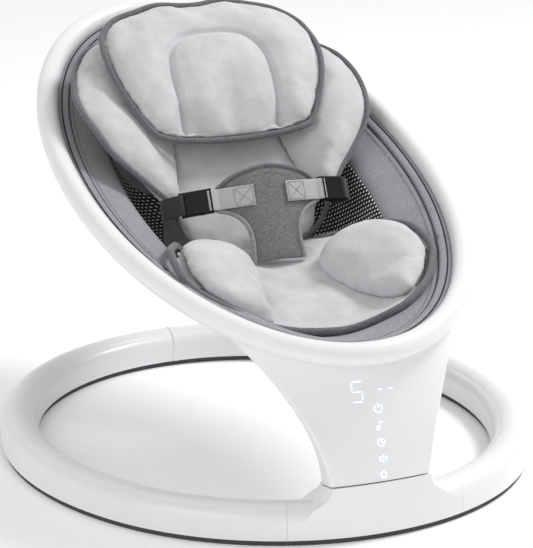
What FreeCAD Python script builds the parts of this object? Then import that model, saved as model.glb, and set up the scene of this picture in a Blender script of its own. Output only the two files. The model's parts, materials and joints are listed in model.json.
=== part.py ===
import FreeCAD, Part
import math
import os

# Baby swing: an oval floor ring, a pedestal that sways on a leaning pivot in the ring's
# front housing, and an oval tilted seat with a padded insert and a waist harness.
# Units are millimetres.  +Z is up, -Y is the front (the foot end), the origin is on the
# floor under the middle of the object.

V = FreeCAD.Vector
UP = V(0, 0, 1)

# ---------------------------------------------------------------- driving dimensions
RING_CENTRE_Y = -37.4          # the ring sits further forward than the seat
RING_HALF_WIDTH = 300.0
RING_END_RADIUS = 290.0        # outer radius of the front and rear arcs
RING_END_SHIFT = 36.0          # distance of those arcs' centres from the ring's centre
RING_SECTION_WIDTH = 42.0
RING_TOP = 43.0
GRIP_HEIGHT = 6.0              # non-slip strip under the whole ring
GRIP_INSET = 2.5
WALL = 2.5
FIT_GAP = 0.3
FLOOR_PLATE = 2.5
FRONT_SEAM_X = 103.0
COLLAR_ANGLE = 1.2             # degrees of the raised lip at the rear joint
COLLAR_RISE = 0.8
SPIGOT_ANGLE = 3.6
FAR = 900.0

PIVOT_LEAN = 11.0              # degrees, top of the pivot leans to the rear
PIVOT_POINT = V(0, RING_CENTRE_Y - 285.0, 54.8)
SWAY_GAP = 1.4
SHAFT_RADIUS = 8.0
BUSH_RADIUS = 12.0
RUNNING_GAP = 0.05
GEAR_MODULE = 1.25
PINION_TEETH = 12
SECTOR_FULL_TEETH = 54
PRESSURE_ANGLE = 25.0
GEAR_DISTANCE = GEAR_MODULE * (PINION_TEETH + SECTOR_FULL_TEETH) / 2

SEAT_CENTRE = V(0, RING_CENTRE_Y + 46.0, 316.2)
SEAT_TILT = 19.1               # degrees, head end up
RIM_HALF_WIDTH = 212.3
RIM_HALF_LENGTH = 363.8
RIM_TAPER = 0.03               # the head end is a little narrower
RIM_RADIUS = 12.5
RIM_WALL = 2.0
SLING_WALL = 3.0

CROTCH_FOOT_V = -120.0         # where the crotch pad meets the seat pad
CROTCH_FOOT_W = -49.0
CROTCH_LEAN = 46.0             # degrees above the rim plane
CROTCH_BEND = 171.5            # the pad wraps back at its sides with this radius
CROTCH_THICK = 7.0
WEBBING_WIDTH = 24.0
WEBBING_THICK = 2.0
BUCKLE_ANGLE = 26.5            # degrees round the crotch pad's bend
BUCKLE_LENGTH = 28.0
BUCKLE_WIDTH = 30.0
BUCKLE_THICK = 10.0

# side arc of the ring: it meets the end arcs tangentially at the ring's half width
SIDE_CENTRE_X = ((RING_END_SHIFT ** 2 - (RING_HALF_WIDTH - RING_END_RADIUS) ** 2)
                 / (2 * (RING_HALF_WIDTH - RING_END_RADIUS)))
SIDE_RADIUS = RING_HALF_WIDTH + SIDE_CENTRE_X
TANGENT_ANGLE = math.degrees(math.atan2(RING_END_SHIFT, SIDE_CENTRE_X))
SEAM_ANGLE = math.degrees(math.asin(FRONT_SEAM_X / RING_END_RADIUS))
FRONT_ARC_CENTRE = V(0, RING_CENTRE_Y - RING_END_SHIFT, 0)
REAR_ARC_CENTRE = V(0, RING_CENTRE_Y + RING_END_SHIFT, 0)
RIGHT_ARC_CENTRE = V(-SIDE_CENTRE_X, RING_CENTRE_Y, 0)


# ---------------------------------------------------------------- general helpers
def save(name, shape):
    """Write one node; every node is a valid solid or a group of separate solids."""
    bad = [s for s in shape.Solids if not s.isValid() or s.Volume <= 0]
    print(f"{name:32s} solids {len(shape.Solids):3d}  volume {shape.Volume / 1000:9.2f} cm3"
          f"  {'BAD' if bad or not shape.Solids else ''}")
    shape.exportStep(f"parts/{name}.step")


def box(x0, x1, y0, y1, z0, z1):
    return Part.makeBox(x1 - x0, y1 - y0, z1 - z0, V(x0, y0, z0))


def rod(radius, z0, z1, x=0.0, y=0.0):
    return Part.makeCylinder(radius, z1 - z0, V(x, y, z0), UP)


def tube(outer, inner, z0, z1, x=0.0, y=0.0):
    return rod(outer, z0, z1, x, y).cut(rod(inner, z0 - 1, z1 + 1, x, y))


def mirrored(shape):
    return shape.mirror(V(0, 0, 0), V(1, 0, 0))


def prism(points, z0, z1):
    """Straight-sided solid over a polygon in the XY plane."""
    corners = [V(x, y, z0) for x, y in points]
    outline = Part.makePolygon(corners + corners[:1])
    return Part.Face(outline).extrude(V(0, 0, z1 - z0))


def placed(shape, placement):
    moved = shape.copy()
    moved.Placement = placement.multiply(moved.Placement)
    return moved


PIVOT_FRAME = FreeCAD.Placement(PIVOT_POINT, FreeCAD.Rotation(V(1, 0, 0), -PIVOT_LEAN))
SEAT_FRAME = FreeCAD.Placement(SEAT_CENTRE, FreeCAD.Rotation(V(1, 0, 0), SEAT_TILT))
CROTCH_FRAME = SEAT_FRAME.multiply(FreeCAD.Placement(
    V(0, CROTCH_FOOT_V, CROTCH_FOOT_W), FreeCAD.Rotation(V(1, 0, 0), CROTCH_LEAN)))


def in_pivot(shape):
    return placed(shape, PIVOT_FRAME)


def in_seat(shape):
    return placed(shape, SEAT_FRAME)


def in_crotch(shape):
    return placed(shape, CROTCH_FRAME)


# ---------------------------------------------------------------- floor ring
def ring_section(radius, inset=0.0, bottom=GRIP_HEIGHT):
    """Section of the ring's shell: upright sides and a crowned top."""
    left = radius - RING_SECTION_WIDTH + inset
    right = radius - inset
    top = RING_TOP - inset
    shoulder = 38.0 - inset
    side_top = 26.0
    corner = 8.5
    middle = (left + right) / 2
    edges = [
        Part.LineSegment(V(left, 0, bottom), V(left, 0, side_top)),
        Part.Arc(V(left, 0, side_top), V(left + 2.6, 0, shoulder - 4.8), V(left + corner, 0, shoulder)),
        Part.Arc(V(left + corner, 0, shoulder), V(middle, 0, top), V(right - corner, 0, shoulder)),
        Part.Arc(V(right - corner, 0, shoulder), V(right - 2.6, 0, shoulder - 4.8), V(right, 0, side_top)),
        Part.LineSegment(V(right, 0, side_top), V(right, 0, bottom)),
        Part.LineSegment(V(right, 0, bottom), V(left, 0, bottom)),
    ]
    return Part.Face(Part.Wire([edge.toShape() for edge in edges]))


def flat_section(radius, inset, z0, z1):
    left = radius - RING_SECTION_WIDTH + inset
    right = radius - inset
    corners = [V(left, 0, z0), V(right, 0, z0), V(right, 0, z1), V(left, 0, z1)]
    return Part.Face(Part.makePolygon(corners + corners[:1]))


def stretch(section, centre, start, end):
    """Sweep a section round a vertical line through centre, angles from +X in degrees."""
    solid = section.revolve(V(0, 0, 0), UP, end - start)
    solid.rotate(V(0, 0, 0), UP, start)
    solid.translate(centre)
    return solid


def arm_path(section_at, front_trim=0.0, rear_trim=0.0):
    """Right-hand arm: front arc, side arc and rear arc of one section, as one solid."""
    end_section = section_at(RING_END_RADIUS)
    side_section = section_at(SIDE_RADIUS)
    front = stretch(end_section, FRONT_ARC_CENTRE, -90 + SEAM_ANGLE + front_trim, -TANGENT_ANGLE)
    side = stretch(side_section, RIGHT_ARC_CENTRE, -TANGENT_ANGLE, TANGENT_ANGLE)
    rear = stretch(end_section, REAR_ARC_CENTRE, TANGENT_ANGLE, 90 - rear_trim)
    return front.fuse([side, rear]).removeSplitter()


def front_stretch(section, trim=0.0):
    return stretch(section, FRONT_ARC_CENTRE, -90 - SEAM_ANGLE + trim, -90 + SEAM_ANGLE - trim)


def snap_axis(side):
    """Foot of a snap button: on the ring's middle line just beyond a seam."""
    angle = math.radians({"right": -90 + SEAM_ANGLE + 2.0, "left": -90 - SEAM_ANGLE - 2.0,
                          "rear": 90 + 2.0}[side])
    centre = REAR_ARC_CENTRE if side == "rear" else FRONT_ARC_CENTRE
    radius = RING_END_RADIUS - RING_SECTION_WIDTH / 2
    return centre + V(radius * math.cos(angle), radius * math.sin(angle), 0)


BUTTON_RADIUS = 4.0
BUTTON_FLANGE = 6.0
BUTTON_HOLE = BUTTON_RADIUS + 0.06
BUTTON_POCKET = 6.6
BUTTON_TRAVEL = 4.0


def at(point, shape):
    moved = shape.copy()
    moved.translate(point)
    return moved


def arm_shell():
    outer = arm_path(lambda radius: ring_section(radius), 0.05, 0.0)
    hollow = arm_path(lambda radius: ring_section(radius, WALL, GRIP_HEIGHT - 1), -0.5, -0.5)
    return outer.cut(hollow)


def rear_collar():
    """Raised lip on the right-hand arm's end, round the rear joint."""
    wide = ring_section(RING_END_RADIUS, -COLLAR_RISE)
    lip = stretch(wide, REAR_ARC_CENTRE, 90 - COLLAR_ANGLE, 90)
    core = stretch(ring_section(RING_END_RADIUS, 0.5, GRIP_HEIGHT - 1), REAR_ARC_CENTRE,
                   90 - COLLAR_ANGLE - 0.5, 90.5)
    return lip.cut(core)


def arm_floor_plate(side):
    plate = arm_path(lambda radius: flat_section(radius, WALL + FIT_GAP, GRIP_HEIGHT,
                                                 GRIP_HEIGHT + FLOOR_PLATE), 0.1, 0.0)
    if side == "left":
        plate = mirrored(plate)
    holes = [at(snap_axis(name), rod(BUTTON_HOLE, 0, 20)) for name in ("left", "right", "rear")]
    return plate.cut(holes)


def arm_grip(side):
    strip = arm_path(lambda radius: flat_section(radius, GRIP_INSET, 0, GRIP_HEIGHT), 0.1, 0.0)
    if side == "left":
        strip = mirrored(strip)
    holes = [at(snap_axis(name), rod(BUTTON_POCKET, -1, 20)) for name in ("left", "right", "rear")]
    return strip.cut(holes)


def spigot(side):
    """Plug inside the shells that carries one arm across a seam, with a button pocket."""
    centre = REAR_ARC_CENTRE if side == "rear" else FRONT_ARC_CENTRE
    seam = {"right": -90 + SEAM_ANGLE, "left": -90 - SEAM_ANGLE, "rear": 90}[side]
    floor = GRIP_HEIGHT + FLOOR_PLATE + FIT_GAP
    plug = stretch(ring_section(RING_END_RADIUS, WALL + FIT_GAP, floor), centre,
                   seam - SPIGOT_ANGLE, seam + SPIGOT_ANGLE)
    plug = plug.common(stretch(flat_section(RING_END_RADIUS, WALL + 1.5, floor, RING_TOP), centre,
                               seam - SPIGOT_ANGLE, seam + SPIGOT_ANGLE))
    pocket = at(snap_axis(side), rod(BUTTON_POCKET, floor - 1, floor + 20))
    return plug.cut(pocket)


def snap_button(side):
    """Stepped button: a nose through the floor plate and a flange above it."""
    flange_z = GRIP_HEIGHT + FLOOR_PLATE + 0.1
    nose = rod(BUTTON_RADIUS, 2.5, flange_z)
    flange = rod(BUTTON_FLANGE, flange_z, flange_z + 3)
    guide = rod(2.0, flange_z + 3, flange_z + 8)
    return at(snap_axis(side), nose.fuse([flange, guide]))


# ---------------------------------------------------------------- hub and pedestal column
# level, half width, edge y, front y, side depth, rear depth; y is from the ring's centre
HUB_LEVELS = [
    (5.0, 84.0, -318.0, -333.0, 19.0, 62.0),
    (28.0, 84.0, -318.0, -333.0, 19.0, 62.0),
    (40.0, 74.0, -320.0, -333.0, 19.0, 56.0),
    (49.0, 62.0, -322.0, -332.0, 20.0, 51.0),
    (60.0, 57.4, -323.0, -331.0, 24.0, 47.0),
    (75.0, 57.1, -323.0, -331.0, 24.0, 47.0),
]
PEDESTAL_LEVELS = [
    (45.0, 55.8, -318.0, -326.6, 18.0, 47.0),
    (61.0, 57.1, -317.4, -325.0, 18.0, 47.0),
    (80.0, 61.1, -314.7, -320.6, 15.0, 46.0),
    (105.0, 68.7, -307.6, -314.4, 11.0, 46.0),
    (130.0, 79.4, -296.0, -308.6, 10.0, 44.0),
    (155.0, 93.0, -279.9, -303.4, 10.0, 40.0),
    (180.0, 109.8, -259.2, -298.6, 12.0, 34.0),
    (205.0, 130.0, -234.0, -294.5, 14.0, 28.0),
    (230.0, 153.0, -203.0, -291.0, 16.0, 22.0),
]
COLUMN_WALL = 3.0
EDGE_ROUND = 3.0


def column_wire(level, inset):
    """Closed outline of the column at one height: bowed front, short sides, round rear."""
    z, half_width, edge_y, front_y, side_depth, rear_depth = level
    half = half_width - inset
    front = RING_CENTRE_Y + front_y + inset
    edge = RING_CENTRE_Y + edge_y + inset
    back = RING_CENTRE_Y + edge_y + side_depth
    depth = rear_depth - inset
    turn = EDGE_ROUND
    mid_edge = edge + 0.25 * turn
    corner = [
        V(half - turn, edge - 0.35 * turn, z),
        V(half - 0.3 * turn, mid_edge, z),
        V(half, edge + turn, z),
    ]
    flip = [V(-p.x, p.y, z) for p in corner]
    rear_arc = Part.Ellipse(V(half, back, z), V(0, back + depth, z), V(0, back, z))
    edges = [
        Part.Arc(flip[0], V(0, front, z), corner[0]).toShape(),
        Part.Arc(corner[0], corner[1], corner[2]).toShape(),
        Part.LineSegment(corner[2], V(half, back, z)).toShape(),
        Part.ArcOfEllipse(rear_arc, 0, math.pi).toShape(),
        Part.LineSegment(V(-half, back, z), flip[2]).toShape(),
        Part.Arc(flip[2], flip[1], flip[0]).toShape(),
    ]
    return Part.Wire(edges)


def column(levels, inset=0.0):
    wires = [column_wire(level, inset) for level in levels]
    return Part.makeLoft(wires, True, False)


def hub_block(keep, inset=0.0):
    """Hub round the pivot: its front lies in the ring's own outer face."""
    face = Part.makeCylinder(RING_END_RADIUS - inset, 200, FRONT_ARC_CENTRE, UP)
    return column(HUB_LEVELS, inset).common(keep).common(face)


def above_gap(offset):
    """Everything above a plane square to the pivot."""
    return in_pivot(box(-FAR, FAR, -FAR, FAR, offset, offset + FAR))


def below_gap(offset):
    return in_pivot(box(-FAR, FAR, -FAR, FAR, offset - FAR, offset))


def column_split():
    """Everything in front of the line where the front and rear pedestal shells meet."""
    points = [V(0, -FAR, PEDESTAL_LEVELS[0][0])]
    points += [V(0, RING_CENTRE_Y + level[2] + 3.5, level[0]) for level in PEDESTAL_LEVELS]
    points += [V(0, -FAR, PEDESTAL_LEVELS[-1][0])]
    face = Part.Face(Part.makePolygon(points + points[:1]))
    solid = face.extrude(V(2 * FAR, 0, 0))
    solid.translate(V(-FAR, 0, 0))
    return solid


SCREW_PLACES = [(-14.0, -313.0), (14.0, -313.0), (-34.0, -262.0), (34.0, -262.0)]
SCREW_LENGTH = 22.0
DC_HEIGHT = 22.0
DC_RADIUS = 2.75
DC_DEPTH = 9.0
DC_BODY = 5.5
DC_SUNK = 1.5                  # the inlet's mouth lies this far inside the hub's rear face
DC_LIFT = 9.0                  # degrees, so that a plug clears the rear of the ring
HUB_REAR_Y = RING_CENTRE_Y + HUB_LEVELS[0][2] + HUB_LEVELS[0][4] + HUB_LEVELS[0][5]


# place of the adaptor's inlet: its mouth, with y outward to the rear and a little upward
SOCKET_FRAME = FreeCAD.Placement(
    V(0, HUB_REAR_Y - DC_SUNK, DC_HEIGHT), FreeCAD.Rotation(V(1, 0, 0), DC_LIFT))


def along_socket(radius, y0, y1):
    return placed(Part.makeCylinder(radius, y1 - y0, V(0, y0, 0), V(0, 1, 0)), SOCKET_FRAME)


def front_housing():
    """Front of the ring with the hub that carries the pivot, one moulded shell."""
    above_floor = box(-FAR, FAR, -FAR, FAR, GRIP_HEIGHT, FAR)
    hub = hub_block(below_gap(0.0)).common(above_floor)
    body = front_stretch(ring_section(RING_END_RADIUS)).fuse(hub)
    hub_room = hub_block(below_gap(-COLUMN_WALL), WALL)
    ring_room = front_stretch(ring_section(RING_END_RADIUS, WALL, GRIP_HEIGHT - 1), -0.5)
    body = body.cut(hub_room).cut(ring_room)
    boss = in_pivot(rod(BUSH_RADIUS + 3, -11.0, -1.0))
    body = body.fuse(boss)
    for x, y in SCREW_PLACES:
        post = rod(4.4, GRIP_HEIGHT + FLOOR_PLATE + 0.2, RING_TOP + 30, x, RING_CENTRE_Y + y)
        body = body.fuse(post.common(hub))
    shaft_way = in_pivot(rod(SHAFT_RADIUS + 0.6, -30, 10))
    bush_seat = in_pivot(rod(BUSH_RADIUS, -30, -4.0))
    screw_top = GRIP_HEIGHT + SCREW_LENGTH + 1
    screw_ways = [rod(1.9, 0, screw_top, x, RING_CENTRE_Y + y) for x, y in SCREW_PLACES]
    socket_way = along_socket(DC_BODY + FIT_GAP, -24, 7)
    return body.cut([shaft_way, bush_seat, socket_way] + screw_ways)


def front_floor_plate():
    """Plate that closes the front housing from below, with the lower bearing boss."""
    slab = box(-FAR, FAR, -FAR, FAR, GRIP_HEIGHT, GRIP_HEIGHT + FLOOR_PLATE)
    ring_part = front_stretch(flat_section(RING_END_RADIUS, WALL + FIT_GAP, GRIP_HEIGHT,
                                           GRIP_HEIGHT + FLOOR_PLATE), 0.1)
    hub_part = hub_block(slab, WALL + FIT_GAP)
    plate = ring_part.fuse(hub_part)
    boss = in_pivot(rod(BUSH_RADIUS + 3, -60, -34.0)).common(
        box(-FAR, FAR, -FAR, FAR, GRIP_HEIGHT + 0.5, FAR))
    plate = plate.fuse(boss)
    bush_seat = in_pivot(rod(BUSH_RADIUS, -40.0, 0))
    shaft_end = in_pivot(rod(SHAFT_RADIUS + 1, -42.0, 0))
    holes = [rod(2.1, 0, 20, x, RING_CENTRE_Y + y) for x, y in SCREW_PLACES]
    return plate.cut([bush_seat, shaft_end] + holes)


def housing_screws():
    """Four pan-head screws that hold the floor plate to the housing."""
    screws = []
    for x, y in SCREW_PLACES:
        head = rod(3.6, GRIP_HEIGHT - 2.2, GRIP_HEIGHT, x, RING_CENTRE_Y + y)
        slot = box(x - 2.4, x + 2.4, RING_CENTRE_Y + y - 0.5, RING_CENTRE_Y + y + 0.5,
                   GRIP_HEIGHT - 3, GRIP_HEIGHT - 1.4)
        shank = rod(1.9, GRIP_HEIGHT, GRIP_HEIGHT + SCREW_LENGTH, x, RING_CENTRE_Y + y)
        screws.append(head.fuse(shank).cut(slot))
    return Part.makeCompound(screws)


def front_grip():
    strip = front_stretch(flat_section(RING_END_RADIUS, GRIP_INSET, 0, GRIP_HEIGHT), 0.1)
    holes = [rod(4.2, -1, 20, x, RING_CENTRE_Y + y) for x, y in SCREW_PLACES]
    return strip.cut(holes)


def power_socket():
    """Barrel inlet for the adaptor's plug, opening to the rear."""
    return along_socket(DC_BODY, -14.5, 0).cut(along_socket(DC_RADIUS, -DC_DEPTH, 5))


def motor_board():
    return box(-26, -8, RING_CENTRE_Y - 262, RING_CENTRE_Y - 260.4, 10.5, 34)


# ---------------------------------------------------------------- pivot and drive
def involute_tooth(teeth, module, thin):
    """One gear tooth on the +X axis, tip outward, as a list of plan points."""
    pitch = module * teeth / 2
    base = pitch * math.cos(math.radians(PRESSURE_ANGLE))
    root = pitch - 1.25 * module
    tip = pitch + 0.9 * module
    roll = math.tan(math.radians(PRESSURE_ANGLE)) - math.radians(PRESSURE_ANGLE)
    half_pitch = math.pi / (2 * teeth) - thin / (2 * pitch)
    flank = []
    steps = 6
    start = max(base, root)
    for k in range(steps + 1):
        radius = start + (tip - start) * k / steps
        angle = math.acos(base / radius)
        spread = half_pitch + roll - (math.tan(angle) - angle)
        flank.append((radius * math.cos(spread), -radius * math.sin(spread)))
    foot_angle = math.atan2(flank[0][1], flank[0][0])
    foot = ((root - 0.3) * math.cos(foot_angle), (root - 0.3) * math.sin(foot_angle))
    lower = [foot] + flank
    upper = [(x, -y) for x, y in reversed(lower)]
    return lower + upper


def gear_teeth(teeth, centres, thin, z0, z1):
    tooth = prism(involute_tooth(teeth, GEAR_MODULE, thin), z0, z1)
    placed_teeth = []
    for degrees in centres:
        copy = tooth.copy()
        copy.rotate(V(0, 0, 0), UP, degrees)
        placed_teeth.append(copy)
    return placed_teeth


GEAR_BOTTOM = -20.0
GEAR_TOP = -14.0
TOOTH_THIN = 0.22


def sector_gear():
    """Toothed sector keyed to the pivot shaft."""
    step = 360.0 / SECTOR_FULL_TEETH
    root = GEAR_MODULE * SECTOR_FULL_TEETH / 2 - 1.25 * GEAR_MODULE
    spread = 4.5 * step
    disc = rod(root, GEAR_BOTTOM, GEAR_TOP)
    wedge = prism([(0, 0), (FAR, -FAR * math.tan(math.radians(spread))),
                   (FAR, FAR * math.tan(math.radians(spread)))], GEAR_BOTTOM, GEAR_TOP)
    web = disc.common(wedge)
    hub = rod(13.0, GEAR_BOTTOM - 3, GEAR_TOP)
    teeth = gear_teeth(SECTOR_FULL_TEETH, [(k + 0.5) * step for k in range(-4, 4)],
                       TOOTH_THIN, GEAR_BOTTOM, GEAR_TOP)
    return in_pivot(hub.fuse([web] + teeth).cut(rod(SHAFT_RADIUS, -FAR, FAR)))


def pinion():
    """Small gear with its shaft, turned by the motor."""
    step = 360.0 / PINION_TEETH
    root = GEAR_MODULE * PINION_TEETH / 2 - 1.25 * GEAR_MODULE
    core = rod(root, GEAR_BOTTOM - 0.5, GEAR_TOP + 0.5)
    teeth = gear_teeth(PINION_TEETH, [180 + k * step for k in range(PINION_TEETH)],
                       TOOTH_THIN, GEAR_BOTTOM - 0.5, GEAR_TOP + 0.5)
    stub = rod(2.0, GEAR_BOTTOM - 8, GEAR_BOTTOM)
    gear = core.fuse(teeth + [stub])
    gear.translate(V(GEAR_DISTANCE, 0, 0))
    return in_pivot(gear)


def drive_motor():
    """Flat gear motor standing beside the pivot, with its output bearing on top."""
    can = rod(11.5, -39.0, -24.0, GEAR_DISTANCE)
    nose = rod(5.0, -24.0, GEAR_BOTTOM - 1.5, GEAR_DISTANCE)
    return in_pivot(can.fuse(nose).cut(rod(2.0 + RUNNING_GAP, -30, 0, GEAR_DISTANCE)))


def motor_bracket():
    """Cup on the floor plate that holds the motor's foot."""
    wall = tube(13.5, 11.5, -60, -31.0, GEAR_DISTANCE)
    keep = box(-FAR, FAR, -FAR, FAR, GRIP_HEIGHT + FLOOR_PLATE, FAR)
    foot = rod(13.5, -60, -39.0, GEAR_DISTANCE)
    return in_pivot(wall.fuse(foot)).common(keep)


def bush(z0, z1):
    return in_pivot(tube(BUSH_RADIUS, SHAFT_RADIUS + RUNNING_GAP, z0, z1))


def pivot_shaft():
    body = rod(SHAFT_RADIUS, -40.5, 12.0)
    groove = tube(SHAFT_RADIUS + 1, SHAFT_RADIUS - 0.8, -13.4, -12.2)
    return in_pivot(body.cut(groove))


def retaining_ring():
    """Clip in the shaft's groove under the upper bush."""
    clip = tube(10.5, SHAFT_RADIUS - 0.8, -13.3, -12.3)
    mouth = box(-3, 3, 0, 20, -14, -12)
    return in_pivot(clip.cut(mouth))


# ---------------------------------------------------------------- seat rim
def rim_curve(scale_radius=0.0, count=32):
    """Closed centre line of the rim in the seat frame, a slightly egg-shaped oval."""
    points = []
    for k in range(count):
        angle = 2 * math.pi * k / count
        narrow = 1 - RIM_TAPER * math.sin(angle)
        points.append(V((RIM_HALF_WIDTH * narrow + scale_radius) * math.cos(angle),
                        (RIM_HALF_LENGTH + scale_radius) * math.sin(angle), 0))
    curve = Part.BSplineCurve()
    curve.interpolate(points, PeriodicFlag=True)
    return Part.Wire([curve.toShape()])


def rim_sweep(section_edges):
    """Sweep a closed section, drawn at the rim's +X side, once round the rim."""
    section = Part.Wire(section_edges)
    return rim_curve().makePipeShell([section], True, False)


def rim_arc_points(radius, start, end):
    middle = (start + end) / 2
    return [V(RIM_HALF_WIDTH + radius * math.cos(math.radians(a)), 0,
              radius * math.sin(math.radians(a))) for a in (start, middle, end)]


SEAM_DROP = -24.0              # degrees: the shells meet a little under the tube's middle


def rim_half(start, end):
    """Half of the tube as a C-shaped moulding between two angles of its section."""
    outer = rim_arc_points(RIM_RADIUS, start, end)
    inner = rim_arc_points(RIM_RADIUS - RIM_WALL, start, end)
    edges = [
        Part.Arc(*outer).toShape(),
        Part.LineSegment(outer[2], inner[2]).toShape(),
        Part.Arc(inner[2], inner[1], inner[0]).toShape(),
        Part.LineSegment(inner[0], outer[0]).toShape(),
    ]
    return in_seat(rim_sweep(edges))


def rim_tube(radius):
    circle = Part.makeCircle(radius, V(RIM_HALF_WIDTH, 0, 0), V(0, 1, 0))
    return rim_sweep([circle])


# ---------------------------------------------------------------- fabric bucket
# depth below the rim plane, half width, half length, shift towards the foot
SLING_LEVELS = [
    (0.0, 199.0, 350.0, 0.0),
    (10.0, 177.0, 334.0, 2.0),
    (25.0, 146.0, 307.0, 2.0),
    (60.0, 131.0, 254.0, -1.0),
    (95.0, 113.0, 190.0, -14.0),
    (118.0, 82.0, 128.0, -34.0),
    (130.0, 48.0, 78.0, -50.0),
]


def sling_solid(inset, top=0.0):
    """Bowl-shaped solid in the seat frame, smaller all round by the inset."""
    wires = []
    for depth, half_width, half_length, shift in SLING_LEVELS:
        level = -depth + (inset if depth > 0 else 0.0)
        ring = Part.Ellipse(V(0, shift, level), half_length - inset, half_width - inset)
        edge = ring.toShape()
        edge.rotate(V(0, shift, level), UP, 90)
        wires.append(Part.Wire([edge]))
    bowl = Part.makeLoft(wires, True, False)
    if top:
        bowl = bowl.common(box(-FAR, FAR, -FAR, FAR, -FAR, -top))
    return bowl


BAND_DEPTH = 30.0
MESH_V0 = -125.0
MESH_V1 = 110.0
MESH_TOP = -27.0
MESH_BOTTOM = -114.0


def mesh_window(side, grow):
    """Block that cuts a window, or its panel, out of the bucket's side wall."""
    slab = box(60, FAR, MESH_V0 - grow, MESH_V1 + grow, MESH_BOTTOM - grow, MESH_TOP + grow)
    return slab if side == "right" else mirrored(slab)


def soft_bucket():
    """Sling body, rim band and the two mesh panels, all from one bowl."""
    bowl = sling_solid(0.0).cut(sling_solid(SLING_WALL))
    bowl = bowl.cut(rim_tube(RIM_RADIUS + FIT_GAP)).cut(box(-FAR, FAR, -FAR, FAR, -1.5, FAR))
    band = bowl.common(box(-FAR, FAR, -FAR, FAR, -BAND_DEPTH, FAR))
    lower = bowl.common(box(-FAR, FAR, -FAR, FAR, -FAR, -BAND_DEPTH - FIT_GAP))
    body = lower.cut([mesh_window("right", FIT_GAP), mesh_window("left", FIT_GAP)])
    panels = [lower.common(mesh_window(side, 0.0)) for side in ("left", "right")]
    return band, body, panels


# ---------------------------------------------------------------- padded insert
# station along the seat, middle u, middle w, half width, half thickness, roll outward in degrees
BACK_PAD = [
    (-46.0, 0.0, -86.0, 54.0, 10.0, 0.0),
    (-30.0, 0.0, -79.0, 62.0, 16.0, 0.0),
    (0.0, 0.0, -61.0, 66.0, 18.0, 0.0),
    (50.0, 0.0, -38.0, 64.0, 18.0, 0.0),
    (100.0, 0.0, -13.0, 62.0, 18.0, 0.0),
    (150.0, 0.0, 2.0, 62.0, 18.0, 0.0),
    (200.0, 0.0, 10.0, 60.0, 18.0, 0.0),
    (250.0, 0.0, 12.0, 54.0, 16.0, 0.0),
    (284.0, 0.0, 12.0, 38.0, 10.0, 0.0),
]
UPPER_BOLSTER = [
    (-25.0, 98.0, -28.0, 13.0, 8.0, 25.0),
    (-5.0, 100.0, -22.0, 27.0, 15.0, 25.0),
    (25.0, 112.0, -7.0, 43.0, 19.0, 28.0),
    (55.0, 119.0, 9.0, 55.0, 21.0, 27.0),
    (98.0, 120.0, 23.0, 57.0, 21.0, 18.0),
    (139.0, 116.0, 34.0, 52.0, 20.0, 13.0),
    (175.0, 107.0, 36.0, 43.0, 18.0, 9.0),
    (210.0, 92.0, 36.0, 28.0, 14.0, 6.0),
    (228.0, 84.0, 35.0, 16.0, 9.0, 4.0),
]
SEAT_PAD = [
    (-264.0, 0.0, -44.0, 46.0, 6.0, 0.0),
    (-248.0, 0.0, -50.0, 56.0, 11.0, 0.0),
    (-200.0, 0.0, -62.0, 54.0, 16.0, 0.0),
    (-120.0, 0.0, -70.0, 54.0, 17.0, 0.0),
    (-64.0, 0.0, -80.0, 52.0, 14.0, 0.0),
]
THIGH_BOLSTER = [
    (-255.0, 84.0, -27.0, 20.0, 9.0, 14.0),
    (-230.0, 92.0, -23.0, 34.0, 16.0, 14.0),
    (-188.0, 101.0, -20.0, 47.0, 20.0, 17.0),
    (-145.0, 102.0, -24.0, 45.0, 20.0, 17.0),
    (-118.0, 103.0, -34.0, 32.0, 15.0, 17.0),
    (-106.0, 104.0, -38.0, 19.0, 9.0, 17.0),
]
HEAD_PILLOW = [
    (39.0, 0.0, 24.0, 86.0, 9.0, 0.0),
    (60.0, 0.0, 40.0, 106.0, 18.0, 0.0),
    (100.0, 0.0, 59.0, 125.0, 25.0, 0.0),
    (140.0, 0.0, 70.0, 130.0, 26.0, 0.0),
    (180.0, 0.0, 75.0, 124.0, 24.0, 0.0),
    (215.0, 0.0, 78.0, 102.0, 17.0, 0.0),
    (238.0, 0.0, 79.0, 76.0, 9.0, 0.0),
]


def around_bucket():
    """Everything below the rim plane that is outside the bucket's inner face."""
    block = box(-FAR, FAR, -FAR, FAR, -FAR, -1.5)
    return in_seat(block.cut(sling_solid(SLING_WALL + FIT_GAP)))


def lofted_pad(stations):
    """Cushion solid through oval sections square to the seat's length."""
    wires = []
    for v, u, w, half_width, half_thickness, roll in stations:
        oval = Part.Ellipse(V(u + half_width, v, w), V(u, v, w + half_thickness), V(u, v, w)).toShape()
        oval.rotate(V(u, v, w), V(0, -1, 0), roll)
        wires.append(Part.Wire([oval]))
    return in_seat(Part.makeLoft(wires, True, False))


# ---------------------------------------------------------------- harness
def bent_slab(half_angle0, half_angle1, n0, n1, s0, s1):
    """Slab bent round the crotch pad's bend: angles either side, layer n0..n1, height s0..s1."""
    ring = Part.makeCylinder(CROTCH_BEND + n1, s1 - s0, V(0, s0, -CROTCH_BEND), V(0, 1, 0)).cut(
        Part.makeCylinder(CROTCH_BEND + n0, s1 - s0, V(0, s0, -CROTCH_BEND), V(0, 1, 0)))
    tan0 = math.tan(math.radians(half_angle0))
    tan1 = math.tan(math.radians(half_angle1))
    reach = CROTCH_BEND + 60
    wedge = Part.Face(Part.makePolygon([
        V(0, s0 - 1, -CROTCH_BEND), V(reach * tan0, s0 - 1, reach - CROTCH_BEND),
        V(reach * tan1, s0 - 1, reach - CROTCH_BEND), V(0, s0 - 1, -CROTCH_BEND)]))
    return ring.common(wedge.extrude(V(0, s1 - s0 + 2, 0)))


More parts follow.
